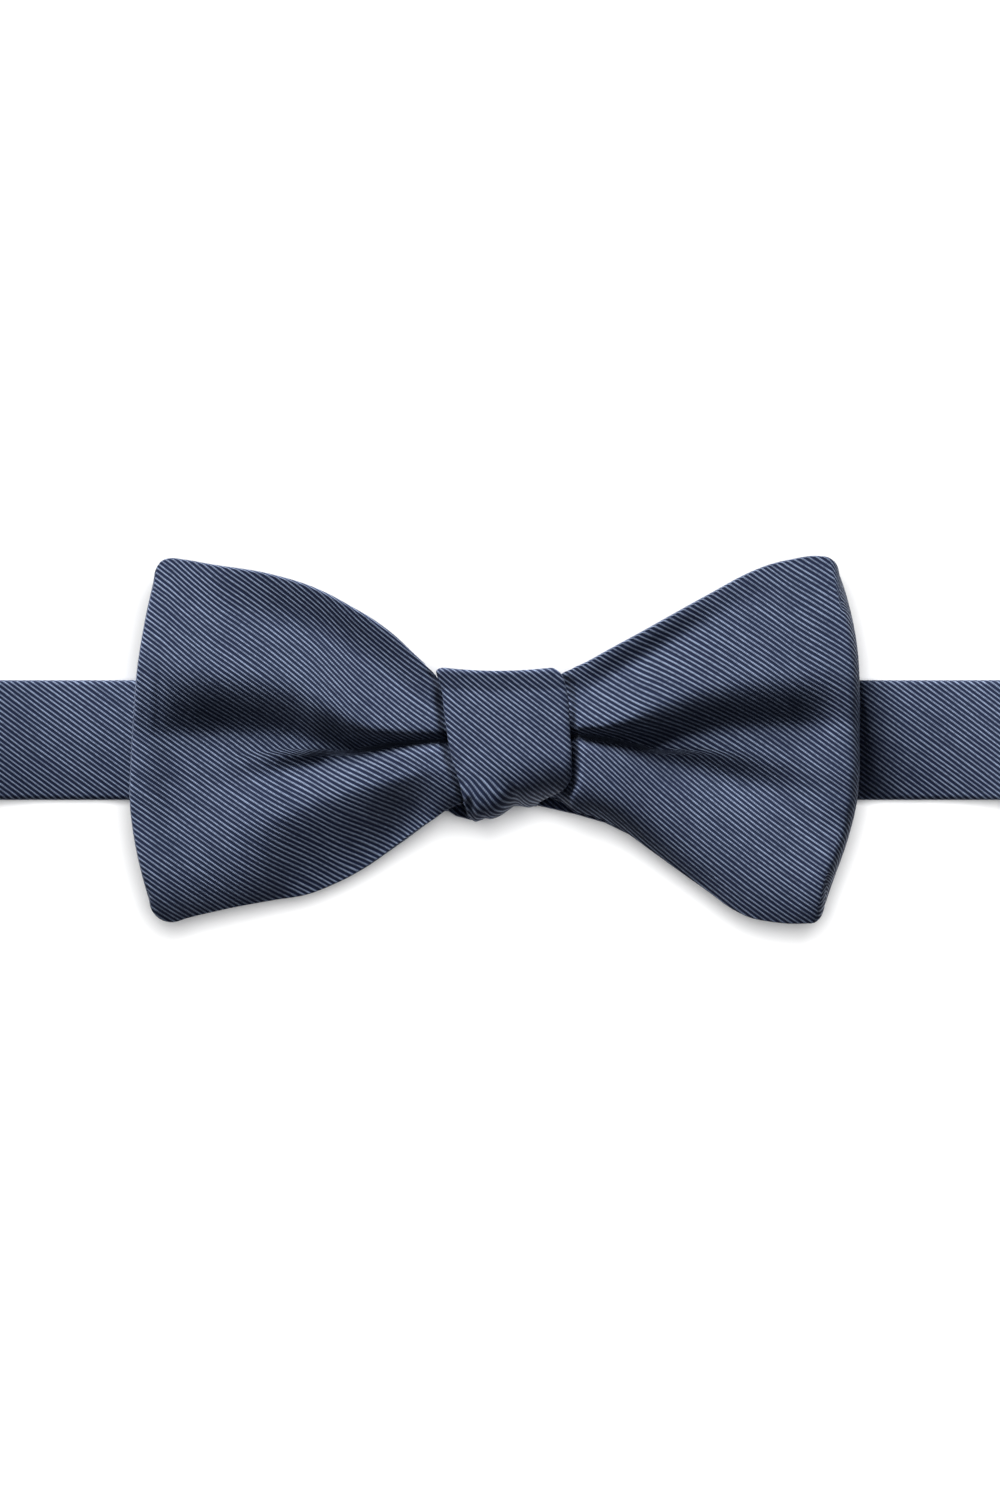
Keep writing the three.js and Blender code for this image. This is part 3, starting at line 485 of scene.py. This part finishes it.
def wing_rows(wing):
    """Sections of the wing from the middle along the front, round the fold, and back."""
    shares = row_shares()
    reach = fold_reach(wing, shares)
    side, fold_out = wing["side"], wing["fold_out"]
    rows = []
    for out in np.linspace(FRONT_START, fold_out, FRONT_STEPS):
        x, y, z, v = front_section(wing, out, shares)
        rows.append({"x": side * x, "y": y, "z": z, "u": side * x, "v": v})
    under = loop_underside(fold_out, y)
    for k in range(1, FOLD_STEPS):
        turn = math.pi * k / FOLD_STEPS
        fold_x = x + (reach - x) * math.sin(turn) ** wing["fold_power"]
        narrowing = lerp(1, BACK_NARROWING, smooth_step(2 * turn / math.pi - 1))
        fold_y = plan_points(wing, fold_x * HALF_WIDTH / reach, shares, narrowing)[1]
        fold_z = (z + under) / 2 + (z - under) / 2 * math.cos(turn)
        add_row(rows, side, fold_x, fold_y, fold_z, v)
    for out in np.linspace(fold_out, BACK_END, BACK_STEPS):
        back_x, back_y = plan_points(wing, out, shares, BACK_NARROWING)
        add_row(rows, side, back_x, back_y, loop_underside(out, back_y), v)
    return rows


# Cloth meshes

# Points round each long edge of a sheet, and how far it bulges (1 is half round)
EDGE_ARC = 4
EDGE_BULGE = 0.35


def rib_coordinates(u, v, angle):
    """Turns cloth coordinates so that x runs along the ribs and y across them."""
    a = math.radians(angle)
    return u * math.cos(a) - v * math.sin(a), u * math.sin(a) + v * math.cos(a)


def unit(vectors):
    length = np.linalg.norm(vectors, axis=-1, keepdims=True)
    return vectors / np.maximum(length, LEAST_LENGTH)


def sheet_normals(grid, ring):
    along = np.gradient(grid, axis=0)
    if ring:
        along = (np.roll(grid, -1, axis=0) - np.roll(grid, 1, axis=0)) / 2
    return unit(np.cross(along, np.gradient(grid, axis=1)))


def edge_arc(middle, normal, edge, neighbour, wall, bulge):
    """Points round one long edge of a sheet, from its outer face to its inner one."""
    outward = unit(middle[:, edge] - middle[:, neighbour])
    return [
        middle[:, edge]
        + wall / 2 * (math.cos(t) * normal[:, edge] + bulge * math.sin(t) * outward)
        for t in np.linspace(0, math.pi, EDGE_ARC + 2)[1:-1]
    ]


def coordinates_round(u, v, wall):
    """Cloth coordinates of the outer face, the high edge, the inner face and the
    low edge, one after the other."""
    arc = np.linspace(0, math.pi * wall / 2, EDGE_ARC + 2)[1:-1]
    high_u = np.repeat(u[:, -1:], EDGE_ARC, axis=1)
    low_u = np.repeat(u[:, :1], EDGE_ARC, axis=1)
    high_v = v[:, -1:] + arc
    low_v = v[:, :1] - arc
    inner_v = high_v[:, -1:] + (v[:, -1:] - v[:, ::-1])
    return (
        np.concatenate([u, high_u, u[:, ::-1], low_u], axis=1),
        np.concatenate([v, high_v, inner_v, low_v[:, ::-1]], axis=1),
    )


def cloth_mesh(name, grid, u, v, wall, angle, ring, bulge=EDGE_BULGE):
    """A sheet of cloth with rounded long edges. grid holds its outer face, as rows
    of points across the sheet, and the wall lies against the face's normal. u and
    v are its cloth coordinates; in a ring they have one more row than the grid."""
    normal = sheet_normals(grid, ring)
    inner = grid - normal * wall
    middle = (grid + inner) / 2
    high_edge = edge_arc(middle, normal, -1, -2, wall, bulge)
    low_edge = edge_arc(middle, normal, 0, 1, wall, bulge)[::-1]
    loops = np.concatenate([
        grid, np.stack(high_edge, axis=1), inner[:, ::-1], np.stack(low_edge, axis=1),
    ], axis=1)
    pattern = rib_coordinates(*coordinates_round(u, v, wall), angle)
    return ring_of_loops(name, loops, np.stack(pattern, axis=-1), ring)


def ring_of_loops(name, loops, pattern, ring):
    """Joins closed loops of points into a ring, or into a bar with two end caps."""
    rows, around = loops.shape[:2]
    spans = rows if ring else rows - 1
    i, j = np.meshgrid(np.arange(spans), np.arange(around), indexing="ij")
    after_j = (j + 1) % around
    corner_rows = np.stack([i, i + 1, i + 1, i], axis=-1).reshape(-1, 4)
    corner_columns = np.stack([j, j, after_j, after_j], axis=-1).reshape(-1, 4)
    corners = corner_rows % rows * around + corner_columns
    faces = [tuple(f) for f in corners.tolist()]
    corner_uv = pattern[corner_rows, corner_columns].reshape(-1, 2)
    if not ring:
        first = list(range(around))
        for row, order in ((0, first), (rows - 1, first[::-1])):
            faces.append(tuple(row * around + k for k in order))
            corner_uv = np.concatenate([corner_uv, pattern[row, order]])
    return make_piece(name, loops.reshape(-1, 3), faces, corner_uv)


def make_piece(name, points, faces, corner_uv):
    mesh = bpy.data.meshes.new(name)
    mesh.from_pydata((points * MM).tolist(), [], faces)
    layer = mesh.uv_layers.new(name=CLOTH_UV)
    layer.data.foreach_set("uv", corner_uv.astype(np.float32).ravel())
    mesh.shade_smooth()
    mesh.update()
    piece = bpy.data.objects.new(name, mesh)
    bpy.context.scene.collection.objects.link(piece)
    return piece


def make_front_loop():
    shares = row_shares()
    right = wing_rows(WINGS["right"])
    left = wing_rows(WINGS["left"])[::-1]
    last = right[-1]
    x, y, z, v = front_section(WINGS["right"], 0.0, shares)
    front = {"x": x, "y": y, "z": z, "u": x, "v": v}
    back = {
        "x": x,
        "y": plan_points(WINGS["right"], 0.0, shares, BACK_NARROWING)[1],
        "z": x + LOOP_LEVEL_MIDDLE,
        "u": last["u"] + np.abs(last["x"]),
        "v": last["v"],
    }
    rows = [front, *right, back, *left]
    grid = np.stack([np.stack([r["x"], r["y"], r["z"]], axis=-1) for r in rows])
    u = np.stack([r["u"] for r in [*rows, front]])
    v = np.stack([r["v"] for r in [*rows, front]])
    return cloth_mesh("bow_loop", grid, u, v, LOOP_WALL, RIB_ANGLE, ring=True)


# The rear blade

# Columns: x, lower edge, upper edge
BLADE_OUTLINE = [
    [-54, -22.5, 22.5],
    [-51, -25.5, 25.2],
    [-35, -22.6, 22.6],
    [-20, -16.4, 16.2],
    [-10, -11.6, 9.9],
    [-7.6, -11.5, 9.3],
    [-6.4, -12.3, 9.2],
    [-3.8, -13.0, 9.1],
    [-3.3, -9.3, 9.1],
    [0, -9.2, 9.1],
    [6.8, -9.2, 9.1],
    [7.1, -10.6, 9.1],
    [13.2, -12, 9.4],
    [18.1, -13.4, 12.4],
    [35, -21.8, 21.6],
    [50, -26.8, 25.6],
    [53, -24.5, 23.5],
]
BLADE_STEPS = 110
BLADE_ROWS = 40


def make_back_blade():
    outline_x, lower, upper = np.array(BLADE_OUTLINE, float).T
    even = np.linspace(outline_x[0], outline_x[-1], BLADE_STEPS)
    x = np.union1d(even, outline_x)[:, None]
    shares = np.linspace(0, 1, BLADE_ROWS)[None, :]
    y = lerp(np.interp(x, outline_x, lower), np.interp(x, outline_x, upper), shares)
    wing_level = LOOP_LEVEL_WING - CLEARANCE - BLADE_WALL
    level = lerp(BLADE_LEVEL_MIDDLE, wing_level, wing_share(x)) - droop(x, y)
    u = x + 0 * y
    grid = np.stack([u, y, level + BLADE_WALL], axis=-1)
    return cloth_mesh("bow_blade", grid, u, y, BLADE_WALL, BLADE_RIB_ANGLE, ring=False)


# The knot

# Its outer face seen along the band: the front's height, the y of both sides, and
# the radii of the corners
KNOT_TOP = 17.2
KNOT_TOP_SIDE = 11.85
KNOT_LOW_SIDE = -11.0
KNOT_UPPER_RADIUS = 0.5
KNOT_LOWER_RADIUS = 3.4
KNOT_BACK_RADIUS = 1.8

# Its left and right edges, by the share of the way round that face
KNOT_EDGE_COLUMNS = ["round", "left_x", "right_x"]
KNOT_EDGES = [
    [0, -7.55, 12.4],
    [0.012, -7.4, 12.5],
    [0.04, -6.95, 12.55],
    [0.072, -6.25, 12.55],
    [0.094, -5.7, 12.2],
    [0.104, -5.45, 11.8],
    [0.116, -5.1, 11.0],
    [0.13, -4.7, 9.2],
    [0.147, -4.3, 7.5],
    [0.17, -3.95, 7.0],
    [0.19, -3.8, 6.9],
    [0.25, -3.8, 6.9],
    [0.31, -4.0, 6.9],
    [0.38, -5.5, 7.0],
    [0.5, -7.6, 8.4],
    [0.66, -8.2, 9.2],
    [0.76, -8.3, 9.6],
    [0.81, -8.1, 9.5],
    [0.832, -8.3, 9.1],
    [0.8365, -8.8, 9.45],
    [0.8408, -9.2, 9.9],
    [0.8451, -9.45, 10.35],
    [0.8494, -9.5, 10.7],
    [0.8545, -9.4, 10.95],
    [0.865, -9.1, 11.3],
    [0.88, -8.75, 11.6],
    [0.9, -8.45, 11.9],
    [0.93, -8.25, 12.15],
    [0.97, -7.85, 12.3],
    [1, -7.55, 12.4],
]

# How far the tuck reaches past the knot's lower side, as (x, mm)
TUCK_REACH = [
    (-4, 1.9), (-3.2, 2.4), (-2.3, 2.2), (-1.5, 1.9), (-0.7, 2), (0.2, 1.8), (1.2, 1.3),
    (2.5, 0.4), (3.4, -0.2), (3.9, -0.3), (4.9, 0), (5.7, 0.1), (6.6, -0.1), (7.4, -0.2),
]

# The tuck grows below TUCK_START_Y and above TUCK_START_Z
TUCK_START_Y = -6.0
TUCK_GROWTH = 5.0
TUCK_START_Z = 2.0
TUCK_RISE = 4.0

# How far the front turns down along its lower side, as (x, mm). The roll grows
# below LOWER_ROLL_START in y and above LOWER_ROLL_FOOT in z.
LOWER_ROLL = [(-5, 0.4), (-1, 0.8), (3, 2.4), (7, 4.2), (12.5, 5.4)]
LOWER_ROLL_START = -2.5
LOWER_ROLL_FOOT = 4.0
LOWER_ROLL_RISE = 11.0

# The front rises at its upper side, and drops and rolls at its left and right
# edges. All of it grows with the height above CROWN_START_Z. The upper side dips
# in its middle by KNOT_TOP_SAG.
UPPER_RIDGE = 0.6
UPPER_RIDGE_WIDTH = 3.4
CROWN_DROP = 0.5
SIDE_ROLL = 0.5
SIDE_ROLL_WIDTH = 1.2
CROWN_START_Z = 12.0
CROWN_RISE = 4.0
KNOT_TOP_SAG = 0.5

# Soft creases in the front, deepest where they start: from x, from y, to x, to y,
# depth, width
KNOT_CREASES = [
    (3.9, -11.0, 0.7, -4.6, 0.55, 0.9),
    (-4.1, -9.0, -2.0, -13.0, 0.8, 0.5),
    (6.5, -11.0, 5.2, -7.6, 0.25, 0.7),
    (-5.4, -4.0, 2.0, 5.0, 0.12, 1.8),
]

CONTOUR_STEPS = 40
KNOT_STEPS = 260
KNOT_ROWS = 100
KNOT_BULGE = 0.6


def knot_contour():
    """Outer face of the knot seen along the band: y and z at even steps round it,
    from the middle of the front down over the low side, and the length there."""
    upper, lower, back = KNOT_UPPER_RADIUS, KNOT_LOWER_RADIUS, KNOT_BACK_RADIUS
    points = []

    def line(y0, z0, y1, z1):
        for t in np.linspace(0, 1, CONTOUR_STEPS, endpoint=False):
            points.append((lerp(y0, y1, t), lerp(z0, z1, t)))

    def arc(y, z, radius, start):
        for t in np.linspace(0, math.pi / 2, CONTOUR_STEPS, endpoint=False):
            a = math.radians(start) + t
            points.append((y + radius * math.cos(a), z + radius * math.sin(a)))

    line(0, KNOT_TOP, KNOT_LOW_SIDE + lower, KNOT_TOP)
    arc(KNOT_LOW_SIDE + lower, KNOT_TOP - lower, lower, 90)
    line(KNOT_LOW_SIDE, KNOT_TOP - lower, KNOT_LOW_SIDE, KNOT_UNDERSIDE + back)
    arc(KNOT_LOW_SIDE + back, KNOT_UNDERSIDE + back, back, 180)
    line(KNOT_LOW_SIDE + back, KNOT_UNDERSIDE, KNOT_TOP_SIDE - back, KNOT_UNDERSIDE)
    arc(KNOT_TOP_SIDE - back, KNOT_UNDERSIDE + back, back, 270)
    line(KNOT_TOP_SIDE, KNOT_UNDERSIDE + back, KNOT_TOP_SIDE, KNOT_TOP - upper)
    arc(KNOT_TOP_SIDE - upper, KNOT_TOP - upper, upper, 0)
    line(KNOT_TOP_SIDE - upper, KNOT_TOP, 0, KNOT_TOP)
    y, z = np.array(points + points[:1]).T
    length = lengths_along(y, z)
    at = np.linspace(0, length[-1], KNOT_STEPS + 1)
    return np.interp(at, length, y), np.interp(at, length, z), at


def knot_creases(x, y):
    """Depth of the soft creases at points of the knot's front."""
    total = 0 * x
    for x0, y0, x1, y1, depth, width in KNOT_CREASES:
        run = math.hypot(x1 - x0, y1 - y0)
        along = ((x - x0) * (x1 - x0) + (y - y0) * (y1 - y0)) / run
        aside = ((x - x0) * (y1 - y0) - (y - y0) * (x1 - x0)) / run
        fade = 1 - smooth_step(along / run)
        before = smooth_step(1 + along / width)
        total = total + depth * fade * before * np.exp(-((aside / width) ** 2))
    return total


def knot_tuck(x, y, z):
    """How far the tuck stands out of the knot's lower side."""
    low = smooth_step((TUCK_START_Y - y) / TUCK_GROWTH)
    low = low * smooth_step((z - TUCK_START_Z) / TUCK_RISE)
    return curve_through(TUCK_REACH, x) * low


def knot_lower_roll(x, y, z):
    down = np.clip((LOWER_ROLL_START - y) / (LOWER_ROLL_START - KNOT_LOW_SIDE), 0, 1)
    roll = curve_through(LOWER_ROLL, x) * down**2
    return roll * smooth_step((z - LOWER_ROLL_FOOT) / LOWER_ROLL_RISE)


def knot_relief(x, y, z, aside, width):
    """How far the knot's front stands over its plain contour. aside goes from 0 in
    the middle of its width to 1 at its edges."""
    ridge = UPPER_RIDGE * np.clip(1 - (KNOT_TOP_SIDE - y) / UPPER_RIDGE_WIDTH, 0, 1)
    crown = CROWN_DROP * smooth_step(aside) ** 2
    from_edge = (1 - aside) / 2 * width
    rim = SIDE_ROLL * np.clip(1 - from_edge / SIDE_ROLL_WIDTH, 0, 1) ** 2
    front = smooth_step((z - CROWN_START_Z) / CROWN_RISE)
    return front * (ridge - crown - rim - knot_creases(x, y))


def make_knot():
    y, z, length = knot_contour()
    round_share = np.linspace(0, 1, KNOT_STEPS + 1)[:, None]
    left = curve_through(column(KNOT_EDGE_COLUMNS, KNOT_EDGES, "left_x"), round_share)
    right = curve_through(column(KNOT_EDGE_COLUMNS, KNOT_EDGES, "right_x"), round_share)
    shares = np.linspace(0, 1, KNOT_ROWS)[None, :]
    aside = np.abs(2 * shares - 1)
    x = lerp(left, right, shares)
    y = y[:, None] + 0 * x
    z = z[:, None] + 0 * x
    sag = KNOT_TOP_SAG * smooth_step(y / KNOT_TOP_SIDE) * (1 - aside**2)
    shaped_y = y - knot_tuck(x, y, z) - sag
    shaped_z = z + knot_relief(x, y, z, aside, right - left) - knot_lower_roll(x, y, z)
    grid = np.stack([x, shaped_y, shaped_z], axis=-1)

    # The join of the cloth pattern goes to the back, out of sight
    half = KNOT_STEPS // 2
    order = np.arange(half, half + KNOT_STEPS + 1)
    at = order % KNOT_STEPS
    v = ((1 - order // KNOT_STEPS) * length[-1] - length[at])[:, None] + 0 * x[at]
    return cloth_mesh(
        "knot", grid[at][:-1], x[at], v, KNOT_WALL, KNOT_RIB_ANGLE, ring=True, bulge=KNOT_BULGE
    )


# The neck band

# Radius of its two end bends, and half the length of a straight run between them
BEND_RADIUS = 4.6
BEND_STEPS = 14
HALF_RUN = (BAND_LENGTH / 2 - math.pi * BEND_RADIUS) / 2

# Where the clasp sits on the return run, and how far the band rises to go through
CLASP_X = -86.7
CLASP_LENGTH = 8.0
CLASP_LIFT = 1.2
CLASP_RAMP = 7.0

# Its width in the knot, and where it widens again
BAND_IN_KNOT = 18.0
GATHER_REACH = 12.0
GATHER_LENGTH = 8.0

# Where the front run starts to rise to the bends, and how far its lower edge turns
# down, with the power of that curve
FLAT_REACH = 72.0
RISE_LENGTH = 24.0
BAND_ROLL = 2.1
BAND_ROLL_CURVE = 2.4
BAND_STEP = 1.6
BAND_ROWS = 30


def front_run_level(x):
    rise = smooth_step((np.abs(x) - FLAT_REACH) / RISE_LENGTH)
    return lerp(BAND_FRONT_LEVEL, 2 * BEND_RADIUS - BAND_WALL / 2, rise)


def return_run_level(x):
    off = np.maximum(np.abs(x - CLASP_X) - CLASP_LENGTH / 2, 0)
    return CLASP_LIFT * (1 - smooth_step(off / CLASP_RAMP))


def band_bend(side):
    """Points round the bend at one side, going on from the run before it."""
    low = float(return_run_level(side * HALF_RUN))
    high = float(front_run_level(side * HALF_RUN)) + BAND_WALL
    middle, radius = (low + high) / 2, (high - low) / 2
    turns = [side * math.pi * (0.5 - k / BEND_STEPS) for k in range(BEND_STEPS + 1)]
    return [
        (side * (HALF_RUN + radius * math.cos(t)), middle + radius * math.sin(t)) for t in turns
    ]


def band_path():
    """Outer face of the band round the whole loop, as x and z, from the middle of
    the front run out to the right."""
    front_x = np.arange(0, HALF_RUN, BAND_STEP)
    back_x = np.arange(HALF_RUN, -HALF_RUN, -BAND_STEP)[1:]
    outer = [(x, float(front_run_level(x)) + BAND_WALL) for x in front_x]
    outer += band_bend(1)
    outer += [(x, float(return_run_level(x))) for x in back_x]
    outer += band_bend(-1)
    outer += [(-x, float(front_run_level(x)) + BAND_WALL) for x in front_x[::-1]]
    return np.array(outer)


def make_band():
    outer = band_path()
    x = outer[:, :1]
    free = smooth_step((np.abs(x) - GATHER_REACH) / GATHER_LENGTH)
    half = lerp(BAND_IN_KNOT, BAND_WIDTH, free) / 2 - BAND_WALL / 2 * EDGE_BULGE
    y = half * np.linspace(-1, 1, BAND_ROWS)[None, :]
    z = outer[:, 1:] + 0 * y
    on_front = smooth_step((z - BAND_FRONT_LEVEL) / BAND_WALL) * (np.abs(x) < HALF_RUN)
    sinking = free * np.clip(0.5 - y / BAND_WIDTH, 0, 1) ** BAND_ROLL_CURVE
    from_bend = smooth_step((HALF_RUN - np.abs(x)) / RISE_LENGTH)
    z = z - BAND_ROLL * sinking * on_front * from_bend
    grid = np.stack([x + 0 * y, y, z], axis=-1)[:-1]
    u = lengths_along(outer[:, 0], outer[:, 1])[:, None] + 0 * y
    return cloth_mesh("band", grid, u, y, BAND_WALL, BAND_RIB_ANGLE, ring=True)


# Materials

def new_material(name):
    material = bpy.data.materials.new(name)
    material.use_nodes = True
    return material


class Graph:
    """Short calls that add and join a material's nodes."""

    def __init__(self, material):
        self.nodes = material.node_tree.nodes
        self.links = material.node_tree.links
        self.shader = self.nodes["Principled BSDF"]

    def look(self, values):
        """Sets the shader's inputs by their names."""
        for name, value in values.items():
            self.put(self.shader.inputs[name], value)

    def put(self, socket, value):
        if hasattr(value, "links"):
            self.links.new(value, socket)
        else:
            socket.default_value = value

    def math(self, operation, *values):
        node = self.nodes.new("ShaderNodeMath")
        node.operation = operation
        for socket, value in zip(node.inputs, values):
            self.put(socket, value)
        return node.outputs[0]

    def times(self, a, b):
        return self.math("MULTIPLY", a, b)

    def plus(self, a, b):
        return self.math("ADD", a, b)

    def wave(self, phase):
        """From -1 to 1, once for each whole step of the phase."""
        return self.math("SINE", self.times(phase, 2 * math.pi))

    def noise(self, vector, detail):
        node = self.nodes.new("ShaderNodeTexNoise")
        node.inputs["Scale"].default_value = 1.0
        node.inputs["Detail"].default_value = detail
        self.put(node.inputs["Vector"], vector)
        return node.outputs["Fac"]

    def noise_over(self, x, y, scales, detail):
        """Noise on a plane, with its own scale along each of its two axes."""
        node = self.nodes.new("ShaderNodeCombineXYZ")
        self.put(node.inputs[0], self.times(x, scales[0]))
        self.put(node.inputs[1], self.times(y, scales[1]))
        return self.noise(node.outputs[0], detail)

    def remap(self, value, low, high, to_low, to_high):
        """Takes low to to_low and high to to_high, smoothly in between."""
        node = self.nodes.new("ShaderNodeMapRange")
        node.interpolation_type = "SMOOTHSTEP"
        limits = {"From Min": low, "From Max": high, "To Min": to_low, "To Max": to_high}
        self.put(node.inputs["Value"], value)
        for name, number in limits.items():
            self.put(node.inputs[name], number)
        return node.outputs["Result"]

    def mix(self, factor, a, b):
        node = self.nodes.new("ShaderNodeMix")
        node.data_type = "RGBA"
        self.put(node.inputs["Factor"], factor)
        self.put(node.inputs["A"], a)
        self.put(node.inputs["B"], b)
        return node.outputs["Result"]

    def bump(self, height, strength, depth):
        node = self.nodes.new("ShaderNodeBump")
        node.inputs["Strength"].default_value = strength
        node.inputs["Distance"].default_value = depth * MM
        self.links.new(height, node.inputs["Height"])
        self.links.new(node.outputs["Normal"], self.shader.inputs["Normal"])


# Twill. Light threads show on the ribs every CROSS_PITCH, moved by STAGGER of it
# from one rib to the next. The ribs wander by up to DRIFT of their pitch. With
# GROOVE_SHIFT the rib's number changes in the groove. RIB_HEIGHT is in millimetres,
# and FLOAT_HEIGHT is a share of it.
DARK_THREAD = (0.010, 0.0165, 0.046, 1)
LIGHT_THREAD = (0.219, 0.275, 0.401, 1)
CROSS_PITCH = 0.30
STAGGER = 0.37
DRIFT = 0.5
GROOVE_SHIFT = 0.25
RIB_HEIGHT = 0.07
FLOAT_HEIGHT = 0.22
TWILL_STRENGTH = 1.0

# Scales of the noises along and across the ribs, in steps to the millimetre. The
# streaks go by the rib's number instead of the way across.
DRIFT_SCALES = (0.05, 0.5)
STREAK_SCALES = (0.16, 3.7)
GRAIN_SCALES = (1.8, 3.0)
DRIFT_DETAIL = 2.0
STREAK_DETAIL = 3.0
GRAIN_DETAIL = 2.0

# Ranges, each as two values in and the two values that they become
RIB_RANGE = (-0.35, 1.0, 0.0, 1.0)
FLOAT_RANGE = (-1.0, 0.6, 0.0, 1.0)
FLOAT_LIGHT = (0.0, 1.0, 0.55, 1.0)
STREAK_LIGHT = (0.25, 0.75, 0.6, 1.25)
GRAIN_LIGHT = (0.2, 0.8, 0.58, 1.3)
RIB_ROUGHNESS = (0.0, 1.0, 0.78, 0.52)
TWILL_LOOK = {
    "Specular IOR Level": 0.15,
    "Sheen Weight": 0.05,
    "Sheen Roughness": 0.45,
    "Sheen Tint": (0.62, 0.7, 0.9, 1),
}


def twill_ribs(g, along, over):
    """Height of the ribs from 0 to 1, and the number of the rib at each point."""
    drift = g.noise_over(along, over, DRIFT_SCALES, DRIFT_DETAIL)
    phase = g.plus(g.math("DIVIDE", over, RIB_PITCH), g.times(drift, DRIFT))
    rib = g.remap(g.wave(phase), *RIB_RANGE)
    return rib, g.math("FLOOR", g.plus(phase, GROOVE_SHIFT))


def twill_floats(g, along, rib_number):
    """Height of the floating threads along each rib, from 0 to 1."""
    stagger = g.times(rib_number, STAGGER)
    phase = g.plus(g.math("DIVIDE", along, CROSS_PITCH), stagger)
    return g.remap(g.wave(phase), *FLOAT_RANGE)


def twill_material():
    material = new_material("navy_twill")
    g = Graph(material)
    uv = g.nodes.new("ShaderNodeUVMap")
    uv.uv_map = CLOTH_UV
    split = g.nodes.new("ShaderNodeSeparateXYZ")
    g.links.new(uv.outputs[0], split.inputs[0])
    along, over = split.outputs[0], split.outputs[1]
    rib, rib_number = twill_ribs(g, along, over)
    floats = twill_floats(g, along, rib_number)
    streak = g.noise_over(along, rib_number, STREAK_SCALES, STREAK_DETAIL)
    grain = g.noise_over(along, over, GRAIN_SCALES, GRAIN_DETAIL)
    light = g.times(rib, g.remap(floats, *FLOAT_LIGHT))
    light = g.times(light, g.remap(streak, *STREAK_LIGHT))
    light = g.times(light, g.remap(grain, *GRAIN_LIGHT))
    g.look({
        "Base Color": g.mix(light, DARK_THREAD, LIGHT_THREAD),
        "Roughness": g.remap(rib, *RIB_ROUGHNESS),
        **TWILL_LOOK,
    })
    height = g.plus(rib, g.times(floats, g.times(rib, FLOAT_HEIGHT)))
    g.bump(height, TWILL_STRENGTH, RIB_HEIGHT)
    return material


# The clasp's metal, brushed along the band. The scales are in steps to the metre.
CLASP_DARK = (0.42, 0.43, 0.45, 1)
CLASP_LIGHT = (0.56, 0.57, 0.6, 1)
CLASP_ROUGHNESS = (0.2, 0.8, 0.24, 0.42)
BRUSH_SCALES = (250, 6000, 6000)
BRUSH_DETAIL = 3.0
BRUSH_STRENGTH = 0.3
BRUSH_DEPTH = 0.02


def clasp_material():
    material = new_material("clasp_metal")
    g = Graph(material)
    place = g.nodes.new("ShaderNodeTexCoord").outputs["Object"]
    stretch = g.nodes.new("ShaderNodeMapping")
    stretch.inputs["Scale"].default_value = BRUSH_SCALES
    g.links.new(place, stretch.inputs["Vector"])
    brushing = g.noise(stretch.outputs[0], BRUSH_DETAIL)
    g.look({
        "Base Color": g.mix(brushing, CLASP_DARK, CLASP_LIGHT),
        "Roughness": g.remap(brushing, *CLASP_ROUGHNESS),
        "Metallic": 1.0,
    })
    g.bump(brushing, BRUSH_STRENGTH, BRUSH_DEPTH)
    return material


# Putting it together

def dress(piece, node, material):
    piece.data.materials.append(material)
    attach(piece, "root")
    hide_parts(node)


make_camera()
floor = make_floor()

twill = twill_material()
loop = make_front_loop()
blade = make_back_blade()
knot = make_knot()
band = make_band()
dress(loop, "bow_front_loop", twill)
dress(blade, "bow_back_blade", twill)
dress(knot, "knot_wrap", twill)
dress(band, "neck_band", twill)

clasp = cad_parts["band_clasp"]
clasp.data.materials.clear()
clasp.data.materials.append(clasp_material())

tie_lit = bpy.data.collections.new("tie_lit")
ground_lit = bpy.data.collections.new("ground_lit")
ground_lit.objects.link(floor)
for piece in (loop, blade, knot, band, clasp):
    tie_lit.objects.link(piece)
make_light(tie_lit, ground_lit)
